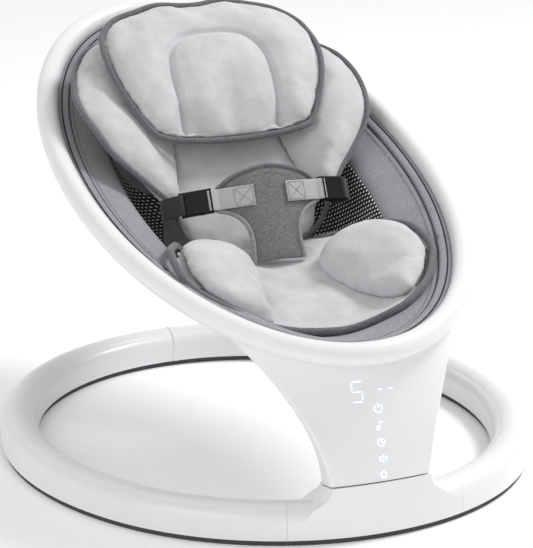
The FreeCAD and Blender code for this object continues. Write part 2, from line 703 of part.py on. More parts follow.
def crotch_outline():
    """Keystone with two wings at the top, drawn flat with its foot at the origin."""
    right = [
        Part.LineSegment(V(31, 0, 0), V(28, 34, 0)),
        Part.Arc(V(28, 34, 0), V(37, 58, 0), V(60, 67, 0)),
        Part.LineSegment(V(60, 67, 0), V(61, 88, 0)),
    ]
    left = [
        Part.LineSegment(V(-61, 88, 0), V(-60, 67, 0)),
        Part.Arc(V(-60, 67, 0), V(-37, 58, 0), V(-28, 34, 0)),
        Part.LineSegment(V(-28, 34, 0), V(-31, 0, 0)),
    ]
    crown = [Part.Arc(V(61, 88, 0), V(0, 112, 0), V(-61, 88, 0))]
    foot = [Part.LineSegment(V(-31, 0, 0), V(31, 0, 0))]
    return Part.Wire([edge.toShape() for edge in right + crown + left + foot])


def crotch_pad():
    half = CROTCH_THICK / 2
    slab = bent_slab(-40, 40, -half, half, -1, 130)
    blank = Part.Face(crotch_outline()).extrude(V(0, 0, 120))
    blank.translate(V(0, 0, -60))
    return in_crotch(slab.common(blank))


TAB_LOW = 64.0
TAB_ANGLE0 = 7.0
TAB_ANGLE1 = 21.0
TAB_LAYER = CROTCH_THICK / 2 + 0.3


def webbing_tab(side):
    """Short webbing stitched on the crotch pad's wing, ending in the buckle's bar."""
    slab = bent_slab(TAB_ANGLE0, TAB_ANGLE1, TAB_LAYER, TAB_LAYER + WEBBING_THICK,
                     TAB_LOW, TAB_LOW + WEBBING_WIDTH)
    return in_crotch(slab if side == "right" else mirrored(slab))


def buckle_frame():
    """Place of a buckle: x outward along the strap, y across it, z away from the body."""
    angle = math.radians(BUCKLE_ANGLE)
    layer = CROTCH_BEND + TAB_LAYER + WEBBING_THICK / 2
    origin = V(layer * math.sin(angle), TAB_LOW + WEBBING_WIDTH / 2, layer * math.cos(angle) - CROTCH_BEND)
    return CROTCH_FRAME.multiply(FreeCAD.Placement(origin, FreeCAD.Rotation(V(0, 1, 0), BUCKLE_ANGLE)))


def in_buckle(shape, side):
    moved = placed(shape, buckle_frame())
    return moved if side == "right" else mirrored(moved)


def rounded_block(x0, x1, half_y, half_z, radius):
    block = box(x0, x1, -half_y, half_y, -half_z, half_z)
    long_edges = [edge for edge in block.Edges
                  if abs(edge.tangentAt(edge.FirstParameter).x) > 0.9]
    return block.makeFillet(radius, long_edges)


PRONG_WIDTH = 4.0
CAVITY_HALF_Y = 11.5
CAVITY_HALF_Z = 2.6


def buckle_socket(side):
    """Female half of the side-release buckle, open at its outer end and at its sides."""
    half = BUCKLE_LENGTH / 2
    body = rounded_block(-half, half - 4, BUCKLE_WIDTH / 2 - 1, BUCKLE_THICK / 2, 2.5)
    cavity = box(-half + 7, half + 1, -CAVITY_HALF_Y, CAVITY_HALF_Y, -CAVITY_HALF_Z, CAVITY_HALF_Z)
    side_way = box(-half + 9, -half + 17, -20, 20, -CAVITY_HALF_Z, CAVITY_HALF_Z)
    bar_way = box(-half + 2.5, -half + 5, -CAVITY_HALF_Y, CAVITY_HALF_Y, -20, 20)
    return in_buckle(body.cut([cavity, side_way, bar_way]), side)


def buckle_prongs(side):
    """Male half: a frame with a webbing bar and three tongues that slide into the socket."""
    half = BUCKLE_LENGTH / 2
    frame = rounded_block(half - 3.7, half + 9, BUCKLE_WIDTH / 2 - 1, BUCKLE_THICK / 2 - 0.5, 2.0)
    slot = box(half + 2, half + 4.5, -CAVITY_HALF_Y, CAVITY_HALF_Y, -20, 20)
    tongues = []
    for y in (-CAVITY_HALF_Y + PRONG_WIDTH / 2 + 0.4, 0.0, CAVITY_HALF_Y - PRONG_WIDTH / 2 - 0.4):
        tongues.append(box(-half + 7.5, half - 3, y - PRONG_WIDTH / 2, y + PRONG_WIDTH / 2,
                           -CAVITY_HALF_Z + 0.4, CAVITY_HALF_Z - 0.4))
    return in_buckle(frame.cut(slot).fuse(tongues), side)


BUCKLE_TRAVEL = 18.0


def waist_strap(side):
    """Stub of the waist webbing, from where the buckle can travel to the bucket's wall."""
    start = BUCKLE_LENGTH / 2 + 9 + BUCKLE_TRAVEL + 1
    half = WEBBING_WIDTH / 2
    top, bottom = -6, -38
    points = [
        V(start, -half, top), V(start + 5, -half, bottom),
        V(start + 7, -half, bottom), V(start + 2, -half, top),
    ]
    face = Part.Face(Part.makePolygon(points + points[:1]))
    return in_buckle(face.extrude(V(0, WEBBING_WIDTH, 0)), side)


# ---------------------------------------------------------------- pedestal
YOKE_Y = RING_CENTRE_Y - 276.0
YOKE_THICK = 5.0
SPEAKER_Y = RING_CENTRE_Y - 262.0
SPEAKER_HEIGHT = 110.0
SLOT_PITCH = 5.0


def under_rim():
    """Space below the rim plane and inside the rim's outer outline."""
    outline = Part.Face(rim_curve(RIM_RADIUS - 1.5))
    outline.translate(V(0, 0, -4.0))
    return in_seat(outline).extrude(V(0, -100, -400))


def pedestal_shells(rim_room, sling_room):
    """Front and rear mouldings of the pedestal, open at the top under the seat."""
    body = column(PEDESTAL_LEVELS).common(above_gap(SWAY_GAP)).common(under_rim())
    room = column(PEDESTAL_LEVELS, COLUMN_WALL).common(above_gap(SWAY_GAP + COLUMN_WALL))
    shaft_way = in_pivot(rod(SHAFT_RADIUS + 0.2, -10, 20))
    shell = body.cut(room).cut([shaft_way, rim_room, sling_room])
    split = column_split()
    front = shell.common(split)
    rear = shell.cut(split)
    slots = []
    for k in range(-3, 4):
        middle = SPEAKER_HEIGHT + SLOT_PITCH * k
        slots.append(box(-14, 14, SPEAKER_Y, SPEAKER_Y + 62, middle - 1, middle + 1))
    return largest(front), largest(rear.cut(slots))


def largest(shape):
    return max(shape.Solids, key=lambda solid: solid.Volume)


def yoke(rim_room):
    """Structural plate from the pivot shaft's flange up to the underside of the rim."""
    outline = [V(-18, 0, 62), V(18, 0, 62), V(66, 0, 196), V(-66, 0, 196)]
    plate = Part.Face(Part.makePolygon(outline + outline[:1])).extrude(V(0, YOKE_THICK, 0))
    plate.translate(V(0, YOKE_Y, 0))
    collar = in_pivot(rod(15.0, 5.2, 14.0))
    clamp = in_pivot(rod(SHAFT_RADIUS, -FAR, 12.0))
    return plate.fuse(collar).cut([clamp, rim_room, below_gap(SWAY_GAP + COLUMN_WALL + 0.4)])


BOARD_LEAN = 12.4
BOARD_BASE = V(0, RING_CENTRE_Y - 313.0, 74.0)
BOARD_FRAME = FreeCAD.Placement(BOARD_BASE, FreeCAD.Rotation(V(1, 0, 0), -BOARD_LEAN))


def display_board():
    return placed(box(-18, 18, 0, 1.6, 0, 98), BOARD_FRAME)


def display_lamps():
    """Lamps on the board: two digits over a column of five touch symbols."""
    lamps = [rod(2.5, 0, 1.4, 0, 8 + 17 * k) for k in range(5)]
    lamps += [box(-13, -1, 84, 96, 0, 1.4), box(1, 13, 84, 96, 0, 1.4)]
    group = Part.makeCompound(lamps)
    group.rotate(V(0, 0, 0), V(1, 0, 0), 90)
    return placed(group, BOARD_FRAME)


def speaker():
    """Small round loudspeaker behind the slots of the rear shell."""
    centre = V(0, SPEAKER_Y, SPEAKER_HEIGHT)
    magnet = Part.makeCylinder(9, 5, centre - V(0, 6, 0), V(0, 1, 0))
    basket = Part.makeCone(9, 15, 4, centre - V(0, 1, 0), V(0, 1, 0))
    return magnet.fuse(basket)


# ---------------------------------------------------------------- build
def main():
    os.makedirs("parts", exist_ok=True)
    save("base_front_housing", front_housing())
    save("base_front_floor_plate", front_floor_plate())
    save("base_front_grip_strip", front_grip())
    save("housing_screws", housing_screws())
    shell = arm_shell()
    save("base_arm_right", shell.fuse(rear_collar()))
    save("base_arm_left", mirrored(shell))
    for side in ("left", "right"):
        save(f"base_arm_{side}_floor_plate", arm_floor_plate(side))
        save(f"base_arm_{side}_grip_strip", arm_grip(side))
    for side in ("left", "right", "rear"):
        save(f"arm_spigot_{side}", spigot(side))
        save(f"snap_button_{side}", snap_button(side))
    save("power_socket", power_socket())
    save("motor_board", motor_board())
    save("pivot_bush_upper", bush(-11.0, -4.0))
    save("pivot_bush_lower", bush(-40.0, -34.0))
    save("pivot_shaft", pivot_shaft())
    save("shaft_retaining_ring", retaining_ring())
    save("sector_gear", sector_gear())
    save("motor_pinion", pinion())
    save("drive_motor", drive_motor())
    save("motor_bracket", motor_bracket())

    rim_room = in_seat(rim_tube(RIM_RADIUS + FIT_GAP))
    sling_room = in_seat(sling_solid(-1.0))
    front, rear = pedestal_shells(rim_room, sling_room)
    save("pedestal_front_shell", front)
    save("pedestal_rear_shell", rear)
    save("seat_yoke", yoke(rim_room))
    save("display_board", display_board())
    save("display_lamps", display_lamps())
    save("speaker", speaker())
    save("seat_rim_upper", rim_half(SEAM_DROP, 180 - SEAM_DROP))
    save("seat_rim_lower", rim_half(180 - SEAM_DROP, 360 + SEAM_DROP))
    band, body, panels = soft_bucket()
    save("seat_fabric_band", in_seat(band))
    save("seat_sling", in_seat(body))
    save("mesh_panel_left", in_seat(panels[0]))
    save("mesh_panel_right", in_seat(panels[1]))
    save("insert_back_pad", lofted_pad(BACK_PAD))
    save("insert_seat_pad", largest(lofted_pad(SEAT_PAD).cut(around_bucket())))
    save("head_pillow", lofted_pad(HEAD_PILLOW))
    upper = largest(lofted_pad(UPPER_BOLSTER).cut(waist_strap("right")))
    thigh = largest(lofted_pad(THIGH_BOLSTER).cut(around_bucket()))
    for side in ("left", "right"):
        save(f"upper_bolster_{side}", upper if side == "right" else mirrored(upper))
        save(f"thigh_bolster_{side}", thigh if side == "right" else mirrored(thigh))
        save(f"webbing_tab_{side}", webbing_tab(side))
        save(f"buckle_socket_{side}", buckle_socket(side))
        save(f"buckle_prongs_{side}", buckle_prongs(side))
        save(f"waist_strap_{side}", waist_strap(side))
    save("crotch_pad", crotch_pad())


main()
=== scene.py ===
"""Looks of the baby swing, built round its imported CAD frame.

Lengths are in millimetres unless the name ends in _m or _M.
Seat points are (across, towards the head, above the rim's plane).
"""

import json
import math

import bmesh
import bpy
import numpy as np
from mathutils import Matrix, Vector, noise
from mathutils.bvhtree import BVHTree


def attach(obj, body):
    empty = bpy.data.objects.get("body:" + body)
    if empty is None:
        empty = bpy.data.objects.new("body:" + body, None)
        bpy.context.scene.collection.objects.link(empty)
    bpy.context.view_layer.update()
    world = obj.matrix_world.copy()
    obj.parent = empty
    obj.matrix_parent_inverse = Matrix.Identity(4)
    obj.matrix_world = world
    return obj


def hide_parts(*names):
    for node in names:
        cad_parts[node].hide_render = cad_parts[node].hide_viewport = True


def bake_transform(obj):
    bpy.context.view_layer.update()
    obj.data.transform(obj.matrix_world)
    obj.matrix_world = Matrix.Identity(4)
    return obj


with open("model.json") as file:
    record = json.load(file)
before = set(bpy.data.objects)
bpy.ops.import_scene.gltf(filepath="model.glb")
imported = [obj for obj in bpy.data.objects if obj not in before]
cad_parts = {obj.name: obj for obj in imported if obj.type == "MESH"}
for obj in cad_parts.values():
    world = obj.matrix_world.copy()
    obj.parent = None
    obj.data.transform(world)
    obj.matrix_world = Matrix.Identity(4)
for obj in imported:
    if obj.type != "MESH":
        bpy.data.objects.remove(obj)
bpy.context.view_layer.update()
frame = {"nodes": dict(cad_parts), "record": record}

MM = 0.001
SEAT_Y = 8.6
SEAT_Z = 316.2
SEAT_TILT = math.radians(19.1)
SEAT_NORMAL = Vector((0, -math.sin(SEAT_TILT), math.cos(SEAT_TILT)))
RIM_TAPER = 0.03
RING_CENTRE_Y = -37.4
CROTCH_FOOT = (-120.0, -49.0)
CROTCH_LEAN = math.radians(46.0)
CROTCH_BEND = 171.5
TAB_LAYER = 4.8
TAB_LOW = 64.0
TAB_HIGH = 88.0
BUCKLE_ANGLE = math.radians(26.5)
ACROSS_PAD = Vector((0, math.cos(SEAT_TILT + CROTCH_LEAN), math.sin(SEAT_TILT + CROTCH_LEAN)))
PAD_NORMAL = Vector((0, -math.sin(SEAT_TILT + CROTCH_LEAN), math.cos(SEAT_TILT + CROTCH_LEAN)))
SEED = Vector((3.7, 1.9, 8.3))
NO_VECTOR = 1e-9


# ---------------------------------------------------------------- places
def in_seat(points):
    """Seat points as points of the frame in metres."""
    u, v, w = np.asarray(points, float).reshape(-1, 3).T
    y = SEAT_Y + v * math.cos(SEAT_TILT) - w * math.sin(SEAT_TILT)
    z = SEAT_Z + v * math.sin(SEAT_TILT) + w * math.cos(SEAT_TILT)
    return np.column_stack([u, y, z]) * MM


def in_crotch(points):
    """Crotch pad points (across, up the pad, out of it), bent round the pad, as points of the frame."""
    x, s, n = np.asarray(points, float).reshape(-1, 3).T
    angle = np.arcsin(np.clip(x / CROTCH_BEND, -0.9, 0.9))
    across = (CROTCH_BEND + n) * np.sin(angle)
    out = (CROTCH_BEND + n) * np.cos(angle) - CROTCH_BEND
    v = CROTCH_FOOT[0] + s * math.cos(CROTCH_LEAN) - out * math.sin(CROTCH_LEAN)
    w = CROTCH_FOOT[1] + s * math.sin(CROTCH_LEAN) + out * math.cos(CROTCH_LEAN)
    return in_seat(np.column_stack([across, v, w]))


def in_buckle(points):
    """Right buckle's points (out along the strap, across it, away from the body) in the frame."""
    a, b, c = np.asarray(points, float).reshape(-1, 3).T
    layer = CROTCH_BEND + TAB_LAYER
    sine, cosine = math.sin(BUCKLE_ANGLE), math.cos(BUCKLE_ANGLE)
    across = layer * sine + a * cosine + c * sine
    out = layer * cosine - CROTCH_BEND - a * sine + c * cosine
    s = (TAB_LOW + TAB_HIGH) / 2 + b
    v = CROTCH_FOOT[0] + s * math.cos(CROTCH_LEAN) - out * math.sin(CROTCH_LEAN)
    w = CROTCH_FOOT[1] + s * math.sin(CROTCH_LEAN) + out * math.cos(CROTCH_LEAN)
    return in_seat(np.column_stack([across, v, w]))


def smooth(points, count, closed):
    """Evenly spaced points on a smooth curve through the given ones."""
    p = np.asarray(points, float)
    if closed:
        p = np.vstack([p[-1:], p, p[:2]])
    else:
        p = np.vstack([2 * p[:1] - p[1:2], p, 2 * p[-1:] - p[-2:-1]])
    fine = []
    for a, b, c, d in zip(p[:-3], p[1:-2], p[2:-1], p[3:]):
        for t in np.arange(20) / 20:
            bend = 2 * a - 5 * b + 4 * c - d + t * (3 * (b - c) + d - a)
            fine.append(b + 0.5 * t * (c - a + t * bend))
    fine.append(p[-2])
    fine = np.array(fine)
    reach = np.concatenate([[0], np.cumsum(np.linalg.norm(np.diff(fine, axis=0), axis=1))])
    marks = np.linspace(0, reach[-1], count + 1 if closed else count)
    if closed:
        marks = marks[:-1]
    return np.column_stack([np.interp(marks, reach, fine[:, k]) for k in range(fine.shape[1])])


def mirrored(points):
    return np.asarray(points, float) * (-1, 1, 1)


# ---------------------------------------------------------------- mesh helpers
def add_object(name, verts, faces, material, smooth_faces=True):
    mesh = bpy.data.meshes.new(name)
    mesh.from_pydata([tuple(v) for v in verts], [], faces)
    mesh.validate()
    mesh.update()
    mesh.polygons.foreach_set("use_smooth", [smooth_faces] * len(mesh.polygons))
    mesh.materials.append(material)
    obj = bpy.data.objects.new(name, mesh)
    bpy.context.scene.collection.objects.link(obj)
    return obj


def baked(obj, modifiers):
    """Adds modifiers, given as (type, settings), and applies them all to the mesh."""
    for kind, settings in modifiers:
        modifier = obj.modifiers.new(kind.lower(), kind)
        for key, value in settings.items():
            setattr(modifier, key, value)
    graph = bpy.context.evaluated_depsgraph_get()
    mesh = bpy.data.meshes.new_from_object(obj.evaluated_get(graph))
    obj.modifiers.clear()
    old = obj.data
    obj.data = mesh
    bpy.data.meshes.remove(old)
    obj.data.polygons.foreach_set("use_smooth", [True] * len(obj.data.polygons))
    return obj


def vertices(obj):
    points = np.zeros(len(obj.data.vertices) * 3)
    obj.data.vertices.foreach_get("co", points)
    return points.reshape(-1, 3)


def normals(obj):
    values = np.zeros(len(obj.data.vertices) * 3, np.float32)
    obj.data.vertex_normals.foreach_get("vector", values)
    return values.reshape(-1, 3).astype(float)


def set_vertices(obj, points):
    obj.data.vertices.foreach_set("co", np.asarray(points, np.float32).ravel())
    obj.data.update()


def mirror_copy(obj, name):
    mesh = obj.data.copy()
    mesh.name = name
    copy = bpy.data.objects.new(name, mesh)
    bpy.context.scene.collection.objects.link(copy)
    set_vertices(copy, mirrored(vertices(copy)))
    mesh.flip_normals()
    return copy


def grid_faces(rows, columns, closed_rows=False, closed_columns=False):
    """Quads between the points of a grid, which may close on itself either way."""
    faces = []
    for i in range(rows if closed_rows else rows - 1):
        for j in range(columns if closed_columns else columns - 1):
            k, m = (i + 1) % rows, (j + 1) % columns
            faces.append((i * columns + j, i * columns + m, k * columns + m, k * columns + j))
    return faces


def sweep(path, section, reference, closed, scale=None):
    """Vertices and faces of a section, (side, up) pairs in metres, carried along a path in metres."""
    path = np.asarray(path, float)
    if closed:
        tangent = np.roll(path, -1, 0) - np.roll(path, 1, 0)
    else:
        tangent = np.gradient(path, axis=0)
    tangent /= np.linalg.norm(tangent, axis=1)[:, None]
    up = np.asarray(reference, float) * np.ones_like(path)
    up -= (up * tangent).sum(1)[:, None] * tangent
    up /= np.linalg.norm(up, axis=1)[:, None]
    side = np.cross(tangent, up)
    size = np.ones(len(path)) if scale is None else np.asarray(scale)
    verts = []
    for point, s, u, k in zip(path, side, up, size):
        verts += [point + k * (a * s + b * u) for a, b in section]
    faces = grid_faces(len(path), len(section), closed, True)
    if not closed:
        last = (len(path) - 1) * len(section)
        faces.append(tuple(range(len(section))))
        faces.append(tuple(last + j for j in reversed(range(len(section)))))
    return verts, faces


def oval(half_side, half_up, count=12):
    """Oval section for sweep, given in millimetres."""
    angles = [2 * math.pi * k / count for k in range(count)]
    return [(half_side * math.cos(a) * MM, -half_up * math.sin(a) * MM) for a in angles]


def flat_strip(half_side, half_up, edge=0.6):
    """Section of a flat webbing or tape with softly rounded edges."""
    a, b, e = half_side, half_up, edge
    points = [
        (-a, 0), (-a + e * 0.4, b * 0.8), (-a + 2 * e, b), (-a / 2, b * 0.94), (0, b), (a / 2, b * 0.94),
        (a - 2 * e, b), (a - e * 0.4, b * 0.8), (a, 0),
    ]
    points += [(x, -y) for x, y in reversed(points[1:-1])]
    return [(x * MM, y * MM) for x, y in points]


def sweep_object(name, path, section, reference, closed, material, scale=None):
    verts, faces = sweep(path, section, reference, closed, scale)
    return add_object(name, verts, faces, material)


def stitches(name, paths, material, length=2.8, gap=1.3, radius=0.36, reference=SEAT_NORMAL):
    """One mesh of short raised threads along each path of points in metres."""
    verts, faces = [], []
    for path in paths:
        path = np.asarray(path, float)
        reach = np.concatenate([[0], np.cumsum(np.linalg.norm(np.diff(path, axis=0), axis=1))])
        start = gap * MM / 2
        while start + length * MM < reach[-1]:
            marks = start + length * MM * np.array([0, 0.22, 0.5, 0.78, 1])
            line = np.column_stack([np.interp(marks, reach, path[:, k]) for k in range(3)])
            v, f = sweep(line, oval(radius, radius, 6), reference, False, [0.35, 0.95, 1.05, 0.95, 0.35])
            faces += [tuple(i + len(verts) for i in face) for face in f]
            verts += v
            start += (length + gap) * MM
    return add_object(name, verts, faces, material)


# ---------------------------------------------------------------- materials
def new_material(name):
    material = bpy.data.materials.new(name)
    material.use_nodes = True
    tree = material.node_tree
    return material, tree, tree.nodes["Principled BSDF"]


def add_node(tree, kind, **values):
    item = tree.nodes.new(kind)
    for key, value in values.items():
        if key in item.inputs:
            item.inputs[key].default_value = value
        else:
            setattr(item, key.lower(), value)
    return item


def grain(tree, scale, stretch=(1, 1, 1), detail=3.0):
    """Noise at a real scale: scale is in features per metre."""
    place = add_node(tree, "ShaderNodeTexCoord")
    mapping = add_node(tree, "ShaderNodeMapping")
    mapping.inputs["Scale"].default_value = stretch
    pattern = add_node(tree, "ShaderNodeTexNoise", Scale=scale, Detail=detail)
    tree.links.new(place.outputs["Object"], mapping.inputs["Vector"])
    tree.links.new(mapping.outputs["Vector"], pattern.inputs["Vector"])
    return pattern.outputs["Fac"]


def ramp(tree, factor, stops):
    item = add_node(tree, "ShaderNodeValToRGB")
    elements = item.color_ramp.elements
    while len(elements) < len(stops):
        elements.new(0.5)
    for element, (position, colour) in zip(elements, stops):
        element.position = position
        element.color = (*colour, 1)
    tree.links.new(factor, item.inputs["Fac"])
    return item.outputs["Color"]


def blend_colours(tree, factor, first, second, kind="MIX"):
    item = add_node(tree, "ShaderNodeMix")
    item.data_type = "RGBA"
    item.blend_type = kind
    for value, socket in ((factor, item.inputs[0]), (first, item.inputs[6]), (second, item.inputs[7])):
        if isinstance(value, (int, float)):
            socket.default_value = value
        elif isinstance(value, tuple):
            socket.default_value = (*value, 1)
        else:
            tree.links.new(value, socket)
    return item.outputs[2]


def add_bump(tree, shader, height, strength, distance_m, before=None):
    item = add_node(tree, "ShaderNodeBump", Strength=strength, Distance=distance_m)
    tree.links.new(height, item.inputs["Height"])
    if before is not None:
        tree.links.new(before, item.inputs["Normal"])
    tree.links.new(item.outputs["Normal"], shader.inputs["Normal"])
    return item.outputs["Normal"]


def shade(colour, factor):
    return tuple(min(1.0, c * factor) for c in colour)


def moulded(name, colour, roughness, coat=0.0, grain_scale=700.0, depth_m=0.00002, specular=0.5):
    """Injection-moulded plastic: faint flow marks, fine surface grain, uneven gloss."""
    material, tree, shader = new_material(name)
    flow = grain(tree, 14.0, detail=4.0)
    tint = ramp(tree, flow, [(0.3, shade(colour, 0.985)), (0.7, shade(colour, 1.01))])
    tree.links.new(tint, shader.inputs["Base Color"])
    gloss = ramp(tree, grain(tree, 60.0), [(0.3, (roughness * 0.85,) * 3), (0.7, (roughness * 1.15,) * 3)])
    tree.links.new(gloss, shader.inputs["Roughness"])
    shader.inputs["Specular IOR Level"].default_value = specular
    shader.inputs["Coat Weight"].default_value = coat
    shader.inputs["Coat Roughness"].default_value = 0.12
    add_bump(tree, shader, grain(tree, grain_scale, detail=2.0), 0.25, depth_m)
    return material


def heather(name, dark, light, sheen=0.25):
    """Melange cloth: light and dark fibres in two directions over a fine plain weave."""
    material, tree, shader = new_material(name)
    along = grain(tree, 700.0, (0.35, 1.0, 1.6), 4.0)
    across = grain(tree, 700.0, (1.6, 0.8, 0.35), 4.0)
    stops = [(0.36, dark), (0.64, light)]
    fibres = blend_colours(tree, 0.5, ramp(tree, along, stops), ramp(tree, across, stops))
    patches = ramp(tree, grain(tree, 28.0, detail=3.0), [(0.3, (0.90,) * 3), (0.7, (1.0,) * 3)])
    tree.links.new(blend_colours(tree, 1.0, fibres, patches, "MULTIPLY"), shader.inputs["Base Color"])
    shader.inputs["Roughness"].default_value = 0.92
    shader.inputs["Sheen Weight"].default_value = sheen
    shader.inputs["Sheen Roughness"].default_value = 0.5
    shader.inputs["Specular IOR Level"].default_value = 0.2
    first = add_bump(tree, shader, across, 0.5, 0.0004)
    add_bump(tree, shader, grain(tree, 1500.0, detail=2.0), 0.6, 0.0002, first)
    return material


def plush(name, colour):
    """Short brushed pile: soft mottling, fine speckle, sheen at grazing angles."""
    material, tree, shader = new_material(name)
    tones = [(0.28, shade(colour, 0.90)), (0.72, shade(colour, 1.08))]
    mottle = ramp(tree, grain(tree, 34.0, detail=4.0), tones)
    speckle = ramp(tree, grain(tree, 900.0, detail=4.0), [(0.25, (0.80,) * 3), (0.62, (1.0,) * 3)])
    tree.links.new(blend_colours(tree, 1.0, mottle, speckle, "MULTIPLY"), shader.inputs["Base Color"])
    shader.inputs["Roughness"].default_value = 0.95
    shader.inputs["Sheen Weight"].default_value = 0.35
    shader.inputs["Sheen Roughness"].default_value = 0.45
    shader.inputs["Specular IOR Level"].default_value = 0.15
    first = add_bump(tree, shader, grain(tree, 110.0, detail=3.0), 0.25, 0.0012)
    add_bump(tree, shader, grain(tree, 1300.0, detail=3.0), 0.7, 0.00025, first)
    return material


def webbing(name, dark, light, pitch=900.0):
    """Tightly woven polyester tape with fine ribs."""
    material, tree, shader = new_material(name)
    ribs = grain(tree, pitch, (0.6, 1.0, 1.0), 2.0)
    tree.links.new(ramp(tree, ribs, [(0.35, dark), (0.65, light)]), shader.inputs["Base Color"])
    shader.inputs["Roughness"].default_value = 0.7
    shader.inputs["Sheen Weight"].default_value = 0.15
    add_bump(tree, shader, ribs, 0.7, 0.0004)
    return material


def spacer_mesh(name, pitch, pitch_down):
    """Black knitted mesh with staggered small light holes, laid out by the panel's own UV map in metres."""
    material, tree, shader = new_material(name)
    place = add_node(tree, "ShaderNodeTexCoord")
    split = add_node(tree, "ShaderNodeSeparateXYZ")
    tree.links.new(place.outputs["UV"], split.inputs[0])

    def wave(axis, step):
        turn = add_node(tree, "ShaderNodeMath", operation="MULTIPLY")
        turn.inputs[1].default_value = 2 * math.pi / (step * MM)
        tree.links.new(split.outputs[axis], turn.inputs[0])
        bend = add_node(tree, "ShaderNodeMath", operation="COSINE")
        tree.links.new(turn.outputs[0], bend.inputs[0])
        return bend.outputs[0]

    both = add_node(tree, "ShaderNodeMath", operation="MULTIPLY")
    tree.links.new(wave("X", pitch), both.inputs[0])
    tree.links.new(wave("Y", pitch_down), both.inputs[1])
    half = add_node(tree, "ShaderNodeMath", operation="MULTIPLY_ADD")
    half.inputs[1].default_value = 0.5
    half.inputs[2].default_value = 0.5
    tree.links.new(both.outputs[0], half.inputs[0])
    holes = ramp(tree, half.outputs[0], [(0.70, (0.010, 0.010, 0.012)), (0.78, (0.95, 0.95, 0.94))])
    tree.links.new(holes, shader.inputs["Base Color"])
    shader.inputs["Roughness"].default_value = 0.75
    add_bump(tree, shader, half.outputs[0], 0.6, 0.0006)
    return material


def lamp(name, colour, strength):
    """Lit symbol with a slightly brighter core."""
    material, tree, shader = new_material(name)
    glow = ramp(tree, grain(tree, 300.0), [(0.3, shade(colour, 0.9)), (0.7, colour)])
    tree.links.new(glow, shader.inputs["Base Color"])
    tree.links.new(glow, shader.inputs["Emission Color"])
    shader.inputs["Emission Strength"].default_value = strength
    return material


def brushed(name, colour):
    """Brushed steel with lines along one way."""
    material, tree, shader = new_material(name)
    lines = grain(tree, 300.0, (1, 1, 14), 3.0)
    tint = ramp(tree, lines, [(0.3, shade(colour, 0.85)), (0.7, colour)])
    tree.links.new(tint, shader.inputs["Base Color"])
    shader.inputs["Metallic"].default_value = 1.0
    shader.inputs["Roughness"].default_value = 0.35
    add_bump(tree, shader, lines, 0.3, 0.0001)
    return material


WHITE = moulded("white_plastic", (0.83, 0.83, 0.84), 0.34, coat=0.15)
GRIP = moulded("grip_rubber", (0.055, 0.055, 0.06), 0.75, grain_scale=1200.0, depth_m=0.0002)
DARK_PLASTIC = moulded("dark_plastic", (0.05, 0.05, 0.055), 0.5)
BEARING = moulded("bearing_plastic", (0.78, 0.76, 0.70), 0.4)
BOARD = moulded("circuit_board", (0.015, 0.14, 0.06), 0.4)
BUCKLE = moulded("buckle_plastic", (0.005, 0.005, 0.006), 0.25, specular=0.22)
STEEL = brushed("brushed_steel", (0.62, 0.62, 0.64))
LIGHT_PLUSH = plush("light_plush", (0.62, 0.615, 0.635))
HEATHER = heather("grey_heather", (0.21, 0.205, 0.225), (0.38, 0.375, 0.40))
DARK_HEATHER = heather("dark_heather", (0.125, 0.125, 0.133), (0.31, 0.308, 0.325))
BINDING = heather("binding_heather", (0.09, 0.09, 0.098), (0.21, 0.208, 0.222))
MID_HEATHER = heather("mid_heather", (0.11, 0.11, 0.118), (0.26, 0.257, 0.27))
PALE_BINDING = heather("pale_binding", (0.22, 0.22, 0.23), (0.40, 0.40, 0.415))
LIGHT_WEBBING = webbing("light_webbing", (0.36, 0.36, 0.355), (0.50, 0.50, 0.495), 1600.0)
DARK_WEBBING = webbing("dark_webbing", (0.010, 0.010, 0.012), (0.034, 0.034, 0.040))
MESH_CLOTH = spacer_mesh("black_mesh", 6.6, 8.4)
THREAD = webbing("grey_thread", (0.10, 0.10, 0.108), (0.22, 0.22, 0.23), 3000.0)
# Near-black painted shade for the lining's welt groove and the gap under the rim
PAINTED_CREASE_SHADE = moulded("painted_crease_shade", (0.01, 0.01, 0.012), 0.8)
LAMP = lamp("panel_light", (0.62, 0.78, 1.0), 1.3)

SLOT_MATERIALS = {
    "white_shell": WHITE, "grip_rubber": GRIP, "dark_plastic": DARK_PLASTIC, "bright_steel": STEEL,
    "circuit_board": BOARD, "bearing_plastic": BEARING, "lamp_light": LAMP, "dark_heather": DARK_HEATHER,
    "grey_heather": HEATHER, "black_mesh": MESH_CLOTH, "light_plush": LIGHT_PLUSH,
    "light_webbing": LIGHT_WEBBING, "dark_webbing": DARK_WEBBING, "buckle_black": BUCKLE,
}


def dress_cad_nodes():
    """Gives every CAD node the material of its slot in the record."""
    for part in frame["record"]["subparts"]:
        mesh = frame["nodes"][part["node"]].data
        mesh.materials.clear()
        mesh.materials.append(SLOT_MATERIALS[part["material_slot"]])


def finish_piece(obj, replaced=()):
    """Makes a piece ride with the seat and hides the CAD nodes it stands for."""
    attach(obj, "seat")
    if replaced:
        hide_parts(*replaced)
    return obj


# ---------------------------------------------------------------- fabric bucket
# depth below the rim plane, half width, half length, shift towards the foot
BUCKET_LEVELS = [
    (0.0, 199.0, 350.0, 0.0),
    (10.0, 177.0, 334.0, 2.0),
    (25.0, 146.0, 307.0, 2.0),
    (60.0, 131.0, 254.0, -1.0),
    (95.0, 113.0, 190.0, -14.0),
    (118.0, 82.0, 128.0, -34.0),
    (130.0, 48.0, 78.0, -50.0),
]
# Down to this depth the wall widens towards the foot; where it moves inward, it rises by this share
TAPER_DEPTH = 60.0
WALL_RISE = 0.2
LINING_INSET = 3.0
LINING_THICKNESS = 3.0
MESH_THICKNESS = 1.2
BUCKET_COLUMNS = 288
BUCKET_ROWS = 110
